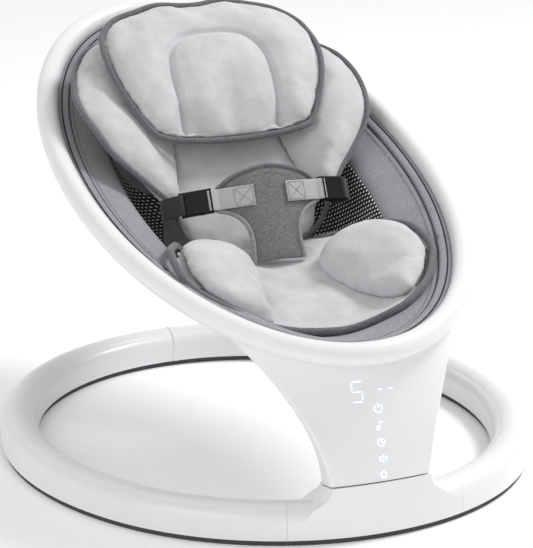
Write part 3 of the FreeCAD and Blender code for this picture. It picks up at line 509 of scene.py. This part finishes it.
# Mesh windows: size as cut, ends along the seat, depths, how far out they start, half their columns
WINDOW_FOOT = -125.0
WINDOW_HEAD = 110.0
WINDOW_TOP = 27.0
WINDOW_BOTTOM = 114.0
WINDOW_INNER = 60.0
WINDOW_COLUMNS = 21
STEEPEST_SINE = 0.97
BAND_WIDTH = 12.0
BAND_HEIGHT = 2.0
GROOVE_DEPTH = 2.2
EDGE_TUCK = 8.0
EDGE_TUCK_REACH = 5.0
WALL_SEAMS = [math.radians(-31), math.radians(211)]
RING_POINTS = 300
# Name, reach from the edge, how far inward and radius. The welt is a seam painted near-black as groove shade;
# the other line is painted shadow in the rim's gap.
EDGE_LINES = [("lining_welt_painted_shade", BAND_WIDTH + 1.0, 2.6, 0.6), ("rim_gap_shadow", 3.2, 1.6, 0.9)]


def bucket_rows():
    """Rows of (depth, half width, half length, shift) down the wall, with the distance from the rim."""
    rows = smooth(BUCKET_LEVELS, BUCKET_ROWS, False)
    step = np.linalg.norm(np.diff(rows[:, :2], axis=0), axis=1)
    return rows, np.concatenate([[0], np.cumsum(step)])


def wall_point(row, angle, inward=0.0):
    """Point of the bucket's wall, moved inward square to the rim plane's outline."""
    depth, half_width, half_length, shift = row
    cos_a, sin_a = math.cos(angle), math.sin(angle)
    taper = 1 - RIM_TAPER * sin_a * max(0.0, 1 - depth / TAPER_DEPTH)
    across = (half_width - inward) * taper * cos_a
    return across, shift + (half_length - inward) * sin_a, -depth + WALL_RISE * inward


def edge_relief(distance):
    """Rolled band along the rim, the two grooves beside it, and the edge tucked under the rim."""
    band = BAND_HEIGHT * math.sin(math.pi * distance / BAND_WIDTH) ** 0.6 if distance < BAND_WIDTH else 0.0
    groove = -GROOVE_DEPTH * math.exp(-((distance - BAND_WIDTH - 1.0) / 1.5) ** 2)
    tuck = -1.0 * math.exp(-((distance - BAND_WIDTH - 8.5) / 1.4) ** 2)
    return band + groove + tuck - EDGE_TUCK * max(0.0, 1 - distance / EDGE_TUCK_REACH)


def seam_dip(angle):
    """1 on the wall's two upright seams, falling to 0 beside them."""
    turns = [(angle - seam + math.pi) % (2 * math.pi) - math.pi for seam in WALL_SEAMS]
    return sum(math.exp(-turn ** 2 / 0.0001) for turn in turns)


def window_limits(row):
    """Angles between which the right mesh window lies on one row of the wall."""
    depth, half_width, half_length, shift = row
    widest = max(0.2, math.acos(min(1.0, WINDOW_INNER / half_width)))
    ends = []
    for end in (WINDOW_FOOT, WINDOW_HEAD):
        sine = max(-STEEPEST_SINE, min(STEEPEST_SINE, (end - shift) / half_length))
        ends.append(max(-widest, min(widest, math.asin(sine))))
    return ends


def column_angle(column, row):
    """Angle of a column on a row, the columns being spread so that two of them follow the window's ends."""
    quarter = BUCKET_COLUMNS // 4
    step = (column + quarter) % BUCKET_COLUMNS - quarter
    on_left = step > quarter
    step = 2 * quarter - step if on_left else step
    foot, head = window_limits(row)
    places = (-quarter, -WINDOW_COLUMNS, WINDOW_COLUMNS, quarter)
    angle = float(np.interp(step, places, (-math.pi / 2, foot, head, math.pi / 2)))
    return math.pi - angle if on_left else angle


def window_side(top, bottom, column):
    """The mesh window that a cell of the wall belongs to, or None."""
    if top < WINDOW_TOP or bottom > WINDOW_BOTTOM:
        return None
    half = BUCKET_COLUMNS // 2
    if column < WINDOW_COLUMNS or column >= 2 * half - WINDOW_COLUMNS:
        return "right"
    return "left" if half - WINDOW_COLUMNS <= column < half + WINDOW_COLUMNS else None


def bucket_wall(side, name, material, thickness):
    """The cells of the bucket's wall in the mesh window of that side, or outside both windows for None."""
    rows, distance = bucket_rows()
    columns = BUCKET_COLUMNS
    verts, spots = [], []
    for row, reach in zip(rows, distance):
        for column in range(columns):
            angle = column_angle(column, row)
            ripple = 0.8 * noise.noise(Vector((3 * math.cos(angle), 3 * math.sin(angle), reach / 30)) + SEED)
            inward = LINING_INSET + edge_relief(reach) + ripple * min(reach / 40, 1)
            inward -= GROOVE_DEPTH * seam_dip(angle)
            verts.append(wall_point(row, angle, inward))
            spots.append((verts[-1][1], reach))
    faces = []
    for i in range(len(rows) - 1):
        for j in range(columns):
            if window_side(rows[i][0], rows[i + 1][0], j) == side:
                m = (j + 1) % columns
                below = (i + 1) * columns
                faces.append((i * columns + j, i * columns + m, below + m, below + j))
    obj = add_object(name, in_seat(verts), faces, material)
    layer = obj.data.uv_layers.new(name="panel")
    for loop in obj.data.loops:
        along, reach = spots[loop.vertex_index]
        layer.data[loop.index].uv = (along * MM, reach * MM)
    drop_loose(obj)
    return baked(obj, [("SOLIDIFY", {"thickness": thickness * MM, "offset": -1.0})])


def drop_loose(obj):
    """Removes the points that no face uses."""
    shape = bmesh.new()
    shape.from_mesh(obj.data)
    bmesh.ops.delete(shape, geom=[v for v in shape.verts if not v.link_faces], context="VERTS")
    shape.to_mesh(obj.data)
    shape.free()


def build_bucket():
    """Fabric bucket with its two mesh windows, stitching along its edge, and near-black lines of painted
    shade: the welt in its groove and the gap at the rim.
    """
    lining = bucket_wall(None, "bucket_lining", HEATHER, LINING_THICKNESS)
    finish_piece(lining, replaced=("seat_sling", "seat_fabric_band"))
    rows, distance = bucket_rows()
    for side in ("left", "right"):
        panel = bucket_wall(side, f"mesh_window_{side}", MESH_CLOTH, MESH_THICKNESS)
        finish_piece(panel, replaced=(f"mesh_panel_{side}",))
    turns = [2 * math.pi * k / RING_POINTS for k in range(RING_POINTS)]

    def ring_at(reach, inward):
        row = [np.interp(reach, distance, rows[:, k]) for k in range(4)]
        return in_seat([wall_point(row, a, inward) for a in turns])

    # Near-black tubes: painted shade in the welt's groove and painted shadow in the rim's gap
    for name, reach, inward, radius in EDGE_LINES:
        path = ring_at(reach, inward)
        line = sweep_object(name, path, oval(radius, radius, 8), SEAT_NORMAL, True, PAINTED_CREASE_SHADE)
        finish_piece(line)
    closed_ring = ring_at(BAND_WIDTH + 6.0, 3.6)
    line = stitches("lining_stitches", [np.vstack([closed_ring, closed_ring[:1]])], THREAD)
    finish_piece(line)


# ---------------------------------------------------------------- cushions
LOOP_POINTS = 120
CUSHION_RINGS = 14
VOXEL_M = 0.0042
CLOTH_FRAMES = 20
CLOTH_PRESSURE = 1.6
CLOTH_STIFFNESS = 12
CLOTH_BENDING = 3.0
SEAM_REACH_M = 0.006


def cushion_blank(outline, spine, rise, sink, up, fullness=0.5, dish=1.0, inset=0.0):
    """Closed crowned form: rings from the seam's outline in to the spine, above and below."""
    loop = smooth(outline, LOOP_POINTS, True)
    line = smooth(spine, 50, False)
    apart = ((loop[:, None, :2] - line[None, :, :2]) ** 2).sum(2)
    core = line[np.argmin(apart, axis=1)]
    up = np.asarray(up, float) / np.linalg.norm(up)
    shares = (1 - inset) * (1 - (np.arange(CUSHION_RINGS) / (CUSHION_RINGS - 0.7)) ** 0.8)
    rings = []
    for share in shares:
        ring = core + (loop - core) * share
        ring[:, 2] = core[:, 2] + (loop[:, 2] - core[:, 2]) * share ** dish
        rings.append(ring)
    bulge = (1 - (shares / shares[0]) ** 2.4) ** fullness
    verts = [rings[0]]
    verts += [ring + up * rise * b for ring, b in zip(rings[1:], bulge[1:])]
    verts += [ring - up * sink * b for ring, b in zip(rings[1:], bulge[1:])]
    n, m = LOOP_POINTS, CUSHION_RINGS
    faces = grid_faces(m, n, closed_columns=True)
    below = [tuple(i if i < n else i + (m - 1) * n for i in face) for face in faces]
    faces += [tuple(reversed(face)) for face in below]
    faces.append(tuple(range((m - 1) * n, m * n)))
    faces.append(tuple(reversed(range((2 * m - 2) * n, (2 * m - 1) * n))))
    return np.vstack(verts), faces, loop


def nearness(points, line, width_m):
    """For each point, 1 on the line falling to 0 away from it."""
    line = np.asarray(line, float)
    dense = smooth(line, 6 * len(line), False) if len(line) < 60 else line
    best = np.full(len(points), np.inf)
    for start in range(0, len(dense), 40):
        apart = ((points[:, None, :] - dense[None, start:start + 40, :]) ** 2).sum(2)
        best = np.minimum(best, apart.min(1))
    return np.exp(-best / width_m ** 2)


def start_cushion(name, blank):
    """Even mesh of a cushion's blank, ready to be blown up, and its seam in the frame."""
    verts, faces, loop = blank
    obj = add_object(name, in_seat(verts), faces, LIGHT_PLUSH)
    remesh = {"mode": "VOXEL", "voxel_size": VOXEL_M}
    baked(obj, [("REMESH", remesh), ("SMOOTH", {"factor": 0.5, "iterations": 3})])
    return obj, in_seat(loop)


def simulate(cushions):
    """Blows up all cushions at once as cloth held at their seams, within each one's cap."""
    scene = bpy.context.scene
    before = {}
    for obj, seam, cap in cushions:
        points = vertices(obj)
        before[obj.name] = points
        held = obj.vertex_groups.new(name="held")
        hold = nearness(points, np.vstack([seam, seam[:1]]), SEAM_REACH_M)
        for index in np.nonzero(hold > 0.3)[0]:
            held.add([int(index)], float(min(1.0, hold[index] * 1.4)), "REPLACE")
        cloth = obj.modifiers.new("cloth", "CLOTH")
        cloth.settings.quality = 5
        cloth.settings.mass = 0.25
        cloth.settings.tension_stiffness = CLOTH_STIFFNESS
        cloth.settings.compression_stiffness = CLOTH_STIFFNESS
        cloth.settings.shear_stiffness = 4
        cloth.settings.bending_stiffness = CLOTH_BENDING
        cloth.settings.shrink_min = -0.02
        cloth.settings.use_pressure = True
        cloth.settings.uniform_pressure_force = CLOTH_PRESSURE
        cloth.settings.effector_weights.gravity = 0.0
        cloth.settings.vertex_group_mass = "held"
        cloth.point_cache.frame_start = 1
        cloth.point_cache.frame_end = CLOTH_FRAMES
    for step in range(1, CLOTH_FRAMES + 1):
        scene.frame_set(step)
    graph = bpy.context.evaluated_depsgraph_get()
    moved = {obj.name: vertices(obj.evaluated_get(graph)) for obj, seam, cap in cushions}
    for obj, seam, cap in cushions:
        obj.modifiers.clear()
        obj.vertex_groups.clear()
        shift = moved[obj.name] - before[obj.name]
        length = np.linalg.norm(shift, axis=1)[:, None]
        shift *= np.minimum(1.0, cap * MM / np.maximum(length, NO_VECTOR))
        set_vertices(obj, before[obj.name] + shift)
    scene.frame_set(1)


def groove_seat(obj, line, width, depth):
    """A sewn channel given in seat points: it takes the surface above each point of the line."""
    points = vertices(obj)
    flat = np.asarray(line, float)[:, :2]
    y, z = points[:, 1] / MM - SEAT_Y, points[:, 2] / MM - SEAT_Z
    v = y * math.cos(SEAT_TILT) + z * math.sin(SEAT_TILT)
    plan = np.column_stack([points[:, 0] / MM, v, np.zeros(len(v))])
    pull = nearness(plan, np.column_stack([flat, np.zeros(len(flat))]), width)
    facing = normals(obj) @ np.array(SEAT_NORMAL)
    pull *= facing > 0.0
    set_vertices(obj, points - normals(obj) * (pull * depth * MM)[:, None])


def soften(obj, height, size):
    """Low uneven swells and dents of stuffed cloth."""
    points = vertices(obj)
    wave = [noise.fractal(Vector(p) / (size * MM) + SEED, 0.7, 2.1, 3) for p in points]
    set_vertices(obj, points + normals(obj) * (np.array(wave) * height * MM)[:, None])


BASE_UP = (0.0, 0.0, 1.0)
WING_UP = (-0.42, -0.05, 0.90)
WING_OUTLINE = [
    (99, -28, -25), (115, -10, -13), (133, 5, 0), (156, 28, 17), (169, 52, 33), (176, 98, 42), (168, 139, 48),
    (152, 172, 46), (128, 206, 44), (96, 226, 40), (68, 205, 34), (60, 150, 18), (61, 110, 6), (64, 73, -6),
    (67, 47, -19), (76, 20, -31), (83, -4, -38),
]
WING_SPINE = [(101, -8, -22), (112, 30, -5), (119, 75, 12), (118, 120, 26), (108, 185, 37)]
BACK_OUTLINE = [
    (0, -60, -80), (52, -56, -77), (82, -38, -64), (94, -4, -45), (91, 20, -36), (83, 47, -24), (79, 73, -11),
    (76, 110, 1), (76, 150, 12), (74, 205, 28), (94, 232, 35), (76, 268, 34), (40, 290, 30), (0, 296, 28),
]
BACK_SPINE = [(0, -25, -66), (0, 0, -54), (0, 40, -34), (0, 80, -12), (0, 120, 0), (0, 170, 14), (0, 225, 25)]
SEAT_RIGHT = [
    (0, -66, -76), (62, -64, -70), (97, -72, -58), (115, -92, -36), (128, -116, -17), (142, -150, -2),
    (147, -190, -2), (137, -215, -4), (124, -236, -5), (108, -254, -6), (93, -266, -8), (78, -275, -11),
    (66, -278, -15), (54, -278, -21), (40, -277, -28), (22, -276, -34), (0, -275, -36),
]
SEAT_LEFT = [
    (-42, -270, -34), (-79, -260, -28), (-103, -251, -18), (-126, -234, -10), (-143, -214, -6),
    (-153, -190, 2), (-149, -150, 1), (-130, -115, -17), (-117, -93, -34), (-99, -73, -56),
    (-63, -65, -69),
]
SEAT_SPINE = [(0, -95, -66), (0, -130, -60), (0, -180, -56), (0, -225, -50)]
THIGH_UP = (-0.42, 0.0, 0.90)
THIGH_OUTLINE = {
    "right": [
        (84, -112, -27), (106, -112, -19), (122, -122, -12), (136, -151, -1), (141, -189, 0), (132, -213, -1),
        (119, -233, -2), (104, -249, -4), (91, -260, -8), (76, -246, -25), (57, -207, -44), (40, -166, -50),
        (36, -141, -50), (54, -120, -42),
    ],
    "left": [
        (84, -112, -27), (106, -112, -19), (124, -121, -13), (136, -150, -2), (141, -188, 0), (132, -209, -7),
        (119, -228, -11), (101, -244, -18), (82, -253, -28), (65, -259, -33), (58, -225, -40),
        (49, -190, -46), (44, -162, -49), (45, -140, -47), (60, -121, -40),
    ],
}
THIGH_SPINE = [(70, -140, -34), (92, -152, -24), (94, -180, -24), (92, -212, -26)]
PILLOW_OUTLINE = [
    (0, 35, 14), (50, 36, 16), (86, 38, 22), (102, 50, 28), (124, 92, 54), (131, 126, 70), (128, 160, 77),
    (119, 184, 80), (99, 204, 83), (70, 214, 86), (42, 220, 89), (14, 217, 88), (0, 216, 88),
]
PILLOW_SPINE = [(-48, 120, 62), (-20, 130, 66), (20, 130, 66), (48, 120, 62)]
PILLOW_ARCH = [
    (57, 30), (58, 50), (60, 72), (61, 95), (59, 118), (52, 136), (38, 148), (20, 153), (0, 154),
]
PIPING = 3.1


def both_sides(half):
    """A symmetric closed outline from its right half, which starts and ends on the middle."""
    left = [(-x, y, z) for x, y, z in reversed(half[1:-1])]
    return list(half) + left


def piping(name, loop, radius):
    """Round binding along a closed seam, a little uneven as sewn by hand."""
    path = np.asarray(loop, float)
    wobble = [1 + 0.06 * noise.noise(Vector(p) * 60 + SEED) for p in path]
    obj = sweep_object(name, path, oval(radius, radius, 14), SEAT_NORMAL, True, BINDING, wobble)
    finish_piece(obj)


def build_insert():
    """The padded insert: back panel, two wings, seat, two thigh bolsters and the head pillow."""
    seat_outline, pillow_outline = SEAT_RIGHT + SEAT_LEFT, both_sides(PILLOW_OUTLINE)
    # Each blank and how far, in millimetres, the cloth may move from it
    blanks = {
        "wing": (cushion_blank(WING_OUTLINE, WING_SPINE, 17, 9, WING_UP), 5.0),
        "back": (cushion_blank(both_sides(BACK_OUTLINE), BACK_SPINE, 8, 14, BASE_UP, dish=1.4), 3.0),
        "seat": (cushion_blank(seat_outline, SEAT_SPINE, 6, 13, BASE_UP, dish=2.4, inset=0.02), 2.0),
        "pillow": (cushion_blank(pillow_outline, PILLOW_SPINE, 21, 14, BASE_UP, inset=0.02), 6.0),
    }
    for side, half in THIGH_OUTLINE.items():
        flip = 1 if side == "right" else -1
        outline = [(flip * x, y, z) for x, y, z in half]
        spine = [(flip * x, y, z) for x, y, z in THIGH_SPINE]
        up = (flip * THIGH_UP[0], 0, THIGH_UP[2])
        blanks[f"thigh_{side}"] = (cushion_blank(outline[::flip], spine, 21, 6, up, 0.62), 3.0)
    made, batch = {}, []
    for name, (blank, cap) in blanks.items():
        made[name], seam = start_cushion(name, blank)
        batch.append((made[name], seam, cap))
    simulate(batch)
    for obj in made.values():
        baked(obj, [("SMOOTH", {"factor": 0.5, "iterations": 5}), ("SUBSURF", {"levels": 1})])
        soften(obj, 1.0, 55)
    arch = PILLOW_ARCH + [(-x, y) for x, y in reversed(PILLOW_ARCH[:-1])]
    arch = smooth([(x, y, 0) for x, y in arch], 160, False)
    groove_seat(made["pillow"], arch, 17, 9.0)
    groove_seat(made["pillow"], arch, 3.4, 5.5)

    names = {
        "back": ("insert_back_panel", "insert_back_pad"),
        "seat": ("insert_seat_panel", "insert_seat_pad"),
        "pillow": ("head_pillow_cushion", "head_pillow"),
        "wing": ("insert_wing_right", "upper_bolster_right"),
        "thigh_right": ("thigh_cushion_right", "thigh_bolster_right"),
        "thigh_left": ("thigh_cushion_left", "thigh_bolster_left"),
    }
    for key, (name, node) in names.items():
        made[key].name = name
        if key == "wing":
            left = mirror_copy(made[key], "insert_wing_left")
            finish_piece(left, replaced=("upper_bolster_left",))
        finish_piece(made[key], replaced=(node,))

    upper = smooth(upper_binding(), 320, True)
    piping("insert_piping_upper", in_seat(upper), PIPING)
    piping("insert_piping_seat", in_seat(smooth(seat_outline, 260, True)), PIPING + 1.1)
    piping("pillow_piping", in_seat(smooth(pillow_outline, 260, True)), PIPING + 0.6)


def upper_binding():
    """Edge of the back panel and wings together, from the right wing's tip round the head."""
    right = WING_OUTLINE[:10] + [(88, 250, 37), (62, 281, 32), (30, 292, 30), (0, 296, 28)]
    left = [(-x, y, z) for x, y, z in reversed(right[:-1])]
    foot = [(-83, -42, -60), (-50, -56, -75), (0, -60, -80), (50, -56, -75), (83, -42, -60)]
    return right + left + foot


# ---------------------------------------------------------------- harness
CROTCH_HALF = [
    (0, 0, 0), (31, 0, 0), (29, 14, 0), (28.5, 28, 0), (31, 41, 0), (38, 52, 0), (49, 60, 0), (61, 65, 0),
    (62, 76, 0), (59, 87, 0), (36, 101, 0), (0, 108, 0),
]


def crotch_curve(points, lift):
    """Smooth line on the crotch pad, lifted off its middle layer, in the frame."""
    curve = smooth(points, 120, False)
    curve[:, 2] += lift
    return in_crotch(curve)


def build_crotch_pad():
    """Padded crotch piece with its edge binding and stitching."""
    spine = [(0, 18, 0), (0, 50, 0), (0, 90, 0)]
    verts, faces, loop = cushion_blank(both_sides(CROTCH_HALF), spine, 3.0, 3.0, BASE_UP, 0.45)
    pad = add_object("crotch_pad_cover", in_crotch(verts), faces, MID_HEATHER)
    baked(pad, [("SUBSURF", {"levels": 2})])
    finish_piece(pad, replaced=("crotch_pad",))
    side_line = CROTCH_HALF[1:9]
    top_line = [
        (61, 80, 0), (57, 89, 0), (36, 101, 0), (0, 108, 0), (-36, 101, 0), (-57, 89, 0), (-61, 80, 0),
    ]
    for side, flip in (("right", 1), ("left", -1)):
        line = [(flip * x, y, z) for x, y, z in side_line]
        path = crotch_curve(line, 0)
        name = f"crotch_binding_{side}"
        binding = sweep_object(name, path, oval(2.6, 3.8), PAD_NORMAL, False, PALE_BINDING)
        finish_piece(binding)
    path = crotch_curve(top_line, 0)
    top = sweep_object("crotch_binding_top", path, oval(2.8, 3.9), PAD_NORMAL, False, BINDING)
    finish_piece(top)
    inset = [(x * 0.86, y * 0.93 + 3.0, z) for x, y, z in side_line[:7]]
    upper = [(x * 0.9, y - 8.0, z) for x, y, z in top_line]
    other_side = [(-x, y, z) for x, y, z in inset]
    lines = [crotch_curve(inset, 3.6), crotch_curve(other_side, 3.6), crotch_curve(upper, 3.7)]
    finish_piece(stitches("crotch_stitches", lines, THREAD, 2.4, 1.1, 0.3))


def build_tabs():
    """Light webbing sewn on the pad's wings with a box and cross, ending round the buckle's bar."""
    middle = (TAB_LOW + TAB_HIGH) / 2
    round_bar = [(-17, 1.5), (-11.5, 4.2), (-9.6, 2.5), (-10.2, -1.5), (-14, -3.0)]
    path = [in_crotch([(x, middle, TAB_LAYER + 0.1)])[0] for x in (19, 28, 38, 48, 58)]
    path += [in_buckle([(a, 0, c)])[0] for a, c in round_bar]
    path = smooth(path, 60, False)
    right = sweep_object("webbing_strap_right", path, webbing_section(), ACROSS_PAD, False, LIGHT_WEBBING)
    left = mirror_copy(right, "webbing_strap_left")
    box_lines = []
    top = TAB_LAYER + 1.35
    box_and_cross = (
        ((21, 66), (21, 86)), ((41, 66), (41, 86)), ((21, 66), (41, 66)), ((21, 86), (41, 86)),
        ((21, 66), (41, 86)), ((21, 86), (41, 66)),
    )
    for a, b in box_and_cross:
        line = np.linspace((*a, top), (*b, top), 12)
        box_lines.append(in_crotch(line))
    cross = stitches("strap_stitches_right", box_lines, THREAD, 1.7, 0.8, 0.3, PAD_NORMAL)
    other_cross = mirror_copy(cross, "strap_stitches_left")
    for side, strap, sewing in (("right", right, cross), ("left", left, other_cross)):
        finish_piece(strap, replaced=(f"webbing_tab_{side}",))
        finish_piece(sewing)


def webbing_section():
    """Section of a 24 mm webbing, its width along the second axis."""
    return [(b, a) for a, b in flat_strip(11.8, 0.95)]


def build_waist_straps():
    """Dark webbing from the buckle's outer bar down into the crease between wing and seat."""
    line = [
        (17.5, 0, -2.5), (18.0, 0, 2.2), (20.5, 0, 6.0), (24.5, 0, 4.0), (30, 0, 0.5), (38, 0, -4),
        (44, 0, -12), (47, 0, -24), (49, 0, -38),
    ]
    path = smooth([in_buckle([p])[0] for p in line], 70, False)
    right = sweep_object("waist_webbing_right", path, webbing_section(), ACROSS_PAD, False, DARK_WEBBING)
    left = mirror_copy(right, "waist_webbing_left")
    for side, obj, flip in (("right", right, 1), ("left", left, -1)):
        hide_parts(f"waist_strap_{side}")
        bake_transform(obj)


# ---------------------------------------------------------------- touch panel
SYMBOL_STAND_OFF_M = 0.00025


def build_panel():
    """Generic lit symbols under the pedestal's skin: two digits and a column of touch icons."""
    shell = frame["nodes"]["pedestal_front_shell"]
    corners = [v.co[:] for v in shell.data.vertices]
    tree = BVHTree.FromPolygons(corners, [p.vertices[:] for p in shell.data.polygons])

    def on_shell(x, z):
        hit = tree.ray_cast(Vector((x * MM, -0.6, z * MM)), Vector((0, 1, 0)))[0]
        return np.array(hit) - (0, SYMBOL_STAND_OFF_M, 0)

    strokes = []

    def stroke(points):
        strokes.append([on_shell(x, z) for x, z in points])

    def arc(x, z, radius, start, end, count=20):
        angles = np.radians(np.linspace(start, end, count))
        return [(x + radius * math.sin(a), z + radius * math.cos(a)) for a in angles]

    stroke([(-16.5, 168.5), (-27, 168.8)])
    stroke([(-27.4, 167), (-27.4, 159.5)])
    stroke([(-26.5, 158), (-17, 158)])
    stroke([(-16, 156.5), (-16, 149)])
    stroke([(-17, 147.6), (-26.5, 147.6)])
    stroke([(1.5, 158), (6.5, 158)])
    stroke([(13, 157.5), (19, 157.5)])
    stroke(arc(0, 138.6, 4.3, 35, 325))
    stroke([(0, 139.5), (0, 144)])
    stroke(arc(-1.4, 118.5, 1.9, 0, 360))
    stroke([(0.5, 118.5), (0.5, 125.5), (4, 124)])
    stroke(arc(0.5, 103.7, 4.0, 0, 360))
    stroke([(0.5, 106.3), (0.5, 103.7), (2.5, 102.6)])
    stroke([(-3, 85), (-3, 88.4), (-1, 88.4), (1.6, 90.8), (1.6, 82.8), (-1, 85), (-3, 85)])
    stroke(arc(1.6, 86.8, 3.4, 50, 130, 8))
    stroke([(-3.4, 71), (0, 74.6), (3.4, 71)])
    stroke([(-2.4, 72), (-2.4, 67.6), (2.4, 67.6), (2.4, 72)])
    verts, faces = [], []
    for line in strokes:
        v, f = sweep(line, oval(0.42, 0.3, 8), (0, -1, 0), False)
        faces += [tuple(i + len(verts) for i in face) for face in f]
        verts += v
    finish_piece(add_object("panel_symbols", verts, faces, LAMP))


# ---------------------------------------------------------------- stage
FLOOR_FRONT_M = -6.0
FLOOR_BACK_M = 3.2
FLOOR_CURVE_M = 1.6
FLOOR_STEPS = 12
BACKDROP_TOP_M = 6.0
FLOOR_HALF_WIDTH_M = 8.0
FLOOR_DROP_M = 0.0005
WORLD_STRENGTH = 0.62
# Name, place in metres, size in metres and power in watts
LIGHTS = [("key", (1.9, -0.1, 2.4), 0.8, 54), ("fill", (-2.2, -1.4, 1.7), 1.6, 15)]
LIGHTS_AIM = Vector((0, 0, 0.25))
CAMERA_AZIMUTH = math.radians(-23.04)
CAMERA_ELEVATION = math.radians(16.88)
CAMERA_DISTANCE_M = 2.9657
CAMERA_AIM = Vector((0, RING_CENTRE_Y * MM, 0.2))
CAMERA_LENS = 170.8
CAMERA_SHIFT = (0.006679, -0.000839)


def build_stage():
    """Pale floor that curves up behind, the even surroundings and two soft lights."""
    profile = [(FLOOR_FRONT_M, 0.0), (FLOOR_BACK_M, 0.0)]
    for k in range(1, FLOOR_STEPS + 1):
        angle = math.radians(90 * k / FLOOR_STEPS)
        height = FLOOR_CURVE_M * (1 - math.cos(angle))
        profile.append((FLOOR_BACK_M + FLOOR_CURVE_M * math.sin(angle), height))
    profile.append((FLOOR_BACK_M + FLOOR_CURVE_M, BACKDROP_TOP_M))
    edges = (-FLOOR_HALF_WIDTH_M, FLOOR_HALF_WIDTH_M)
    verts = [(x, y, z - FLOOR_DROP_M) for y, z in profile for x in edges]
    faces = [(2 * i, 2 * i + 1, 2 * i + 3, 2 * i + 2) for i in range(len(profile) - 1)]
    material, tree, shader = new_material("studio_floor")
    pale = ramp(tree, grain(tree, 2.0), [(0.3, (0.93, 0.93, 0.935)), (0.7, (0.94, 0.94, 0.945))])
    tree.links.new(pale, shader.inputs["Base Color"])
    tree.links.new(pale, shader.inputs["Emission Color"])
    shader.inputs["Emission Strength"].default_value = 0.12
    shader.inputs["Roughness"].default_value = 0.8
    add_object("studio_floor", verts, faces, material)

    world = bpy.data.worlds.new("studio")
    bpy.context.scene.world = world
    world.use_nodes = True
    background = world.node_tree.nodes["Background"]
    background.inputs["Color"].default_value = (1, 1, 1, 1)
    background.inputs["Strength"].default_value = WORLD_STRENGTH
    for name, place, size, power in LIGHTS:
        data = bpy.data.lights.new(name, "AREA")
        data.energy = power
        data.size = size
        light = bpy.data.objects.new(name, data)
        light.location = place
        light.rotation_euler = (LIGHTS_AIM - Vector(place)).to_track_quat("-Z", "Y").to_euler()
        bpy.context.scene.collection.objects.link(light)
    bpy.context.scene.view_settings.view_transform = "Standard"


def build_camera():
    """Camera at the photograph's angle: 23 degrees to the left of the front and 17 degrees up."""
    level = math.cos(CAMERA_ELEVATION)
    across, along = math.sin(CAMERA_AZIMUTH) * level, -math.cos(CAMERA_AZIMUTH) * level
    away = Vector((across, along, math.sin(CAMERA_ELEVATION)))
    data = bpy.data.cameras.new("camera")
    data.sensor_width = 36.0
    data.sensor_fit = "AUTO"
    data.lens = CAMERA_LENS
    data.shift_x, data.shift_y = CAMERA_SHIFT
    camera = bpy.data.objects.new("camera", data)
    camera.location = CAMERA_AIM + away * CAMERA_DISTANCE_M
    camera.rotation_euler = (-away).to_track_quat("-Z", "Y").to_euler()
    bpy.context.scene.collection.objects.link(camera)
    bpy.context.scene.camera = camera


build_camera()
build_stage()
dress_cad_nodes()
build_bucket()
build_insert()
build_crotch_pad()
build_tabs()
build_waist_straps()
build_panel()
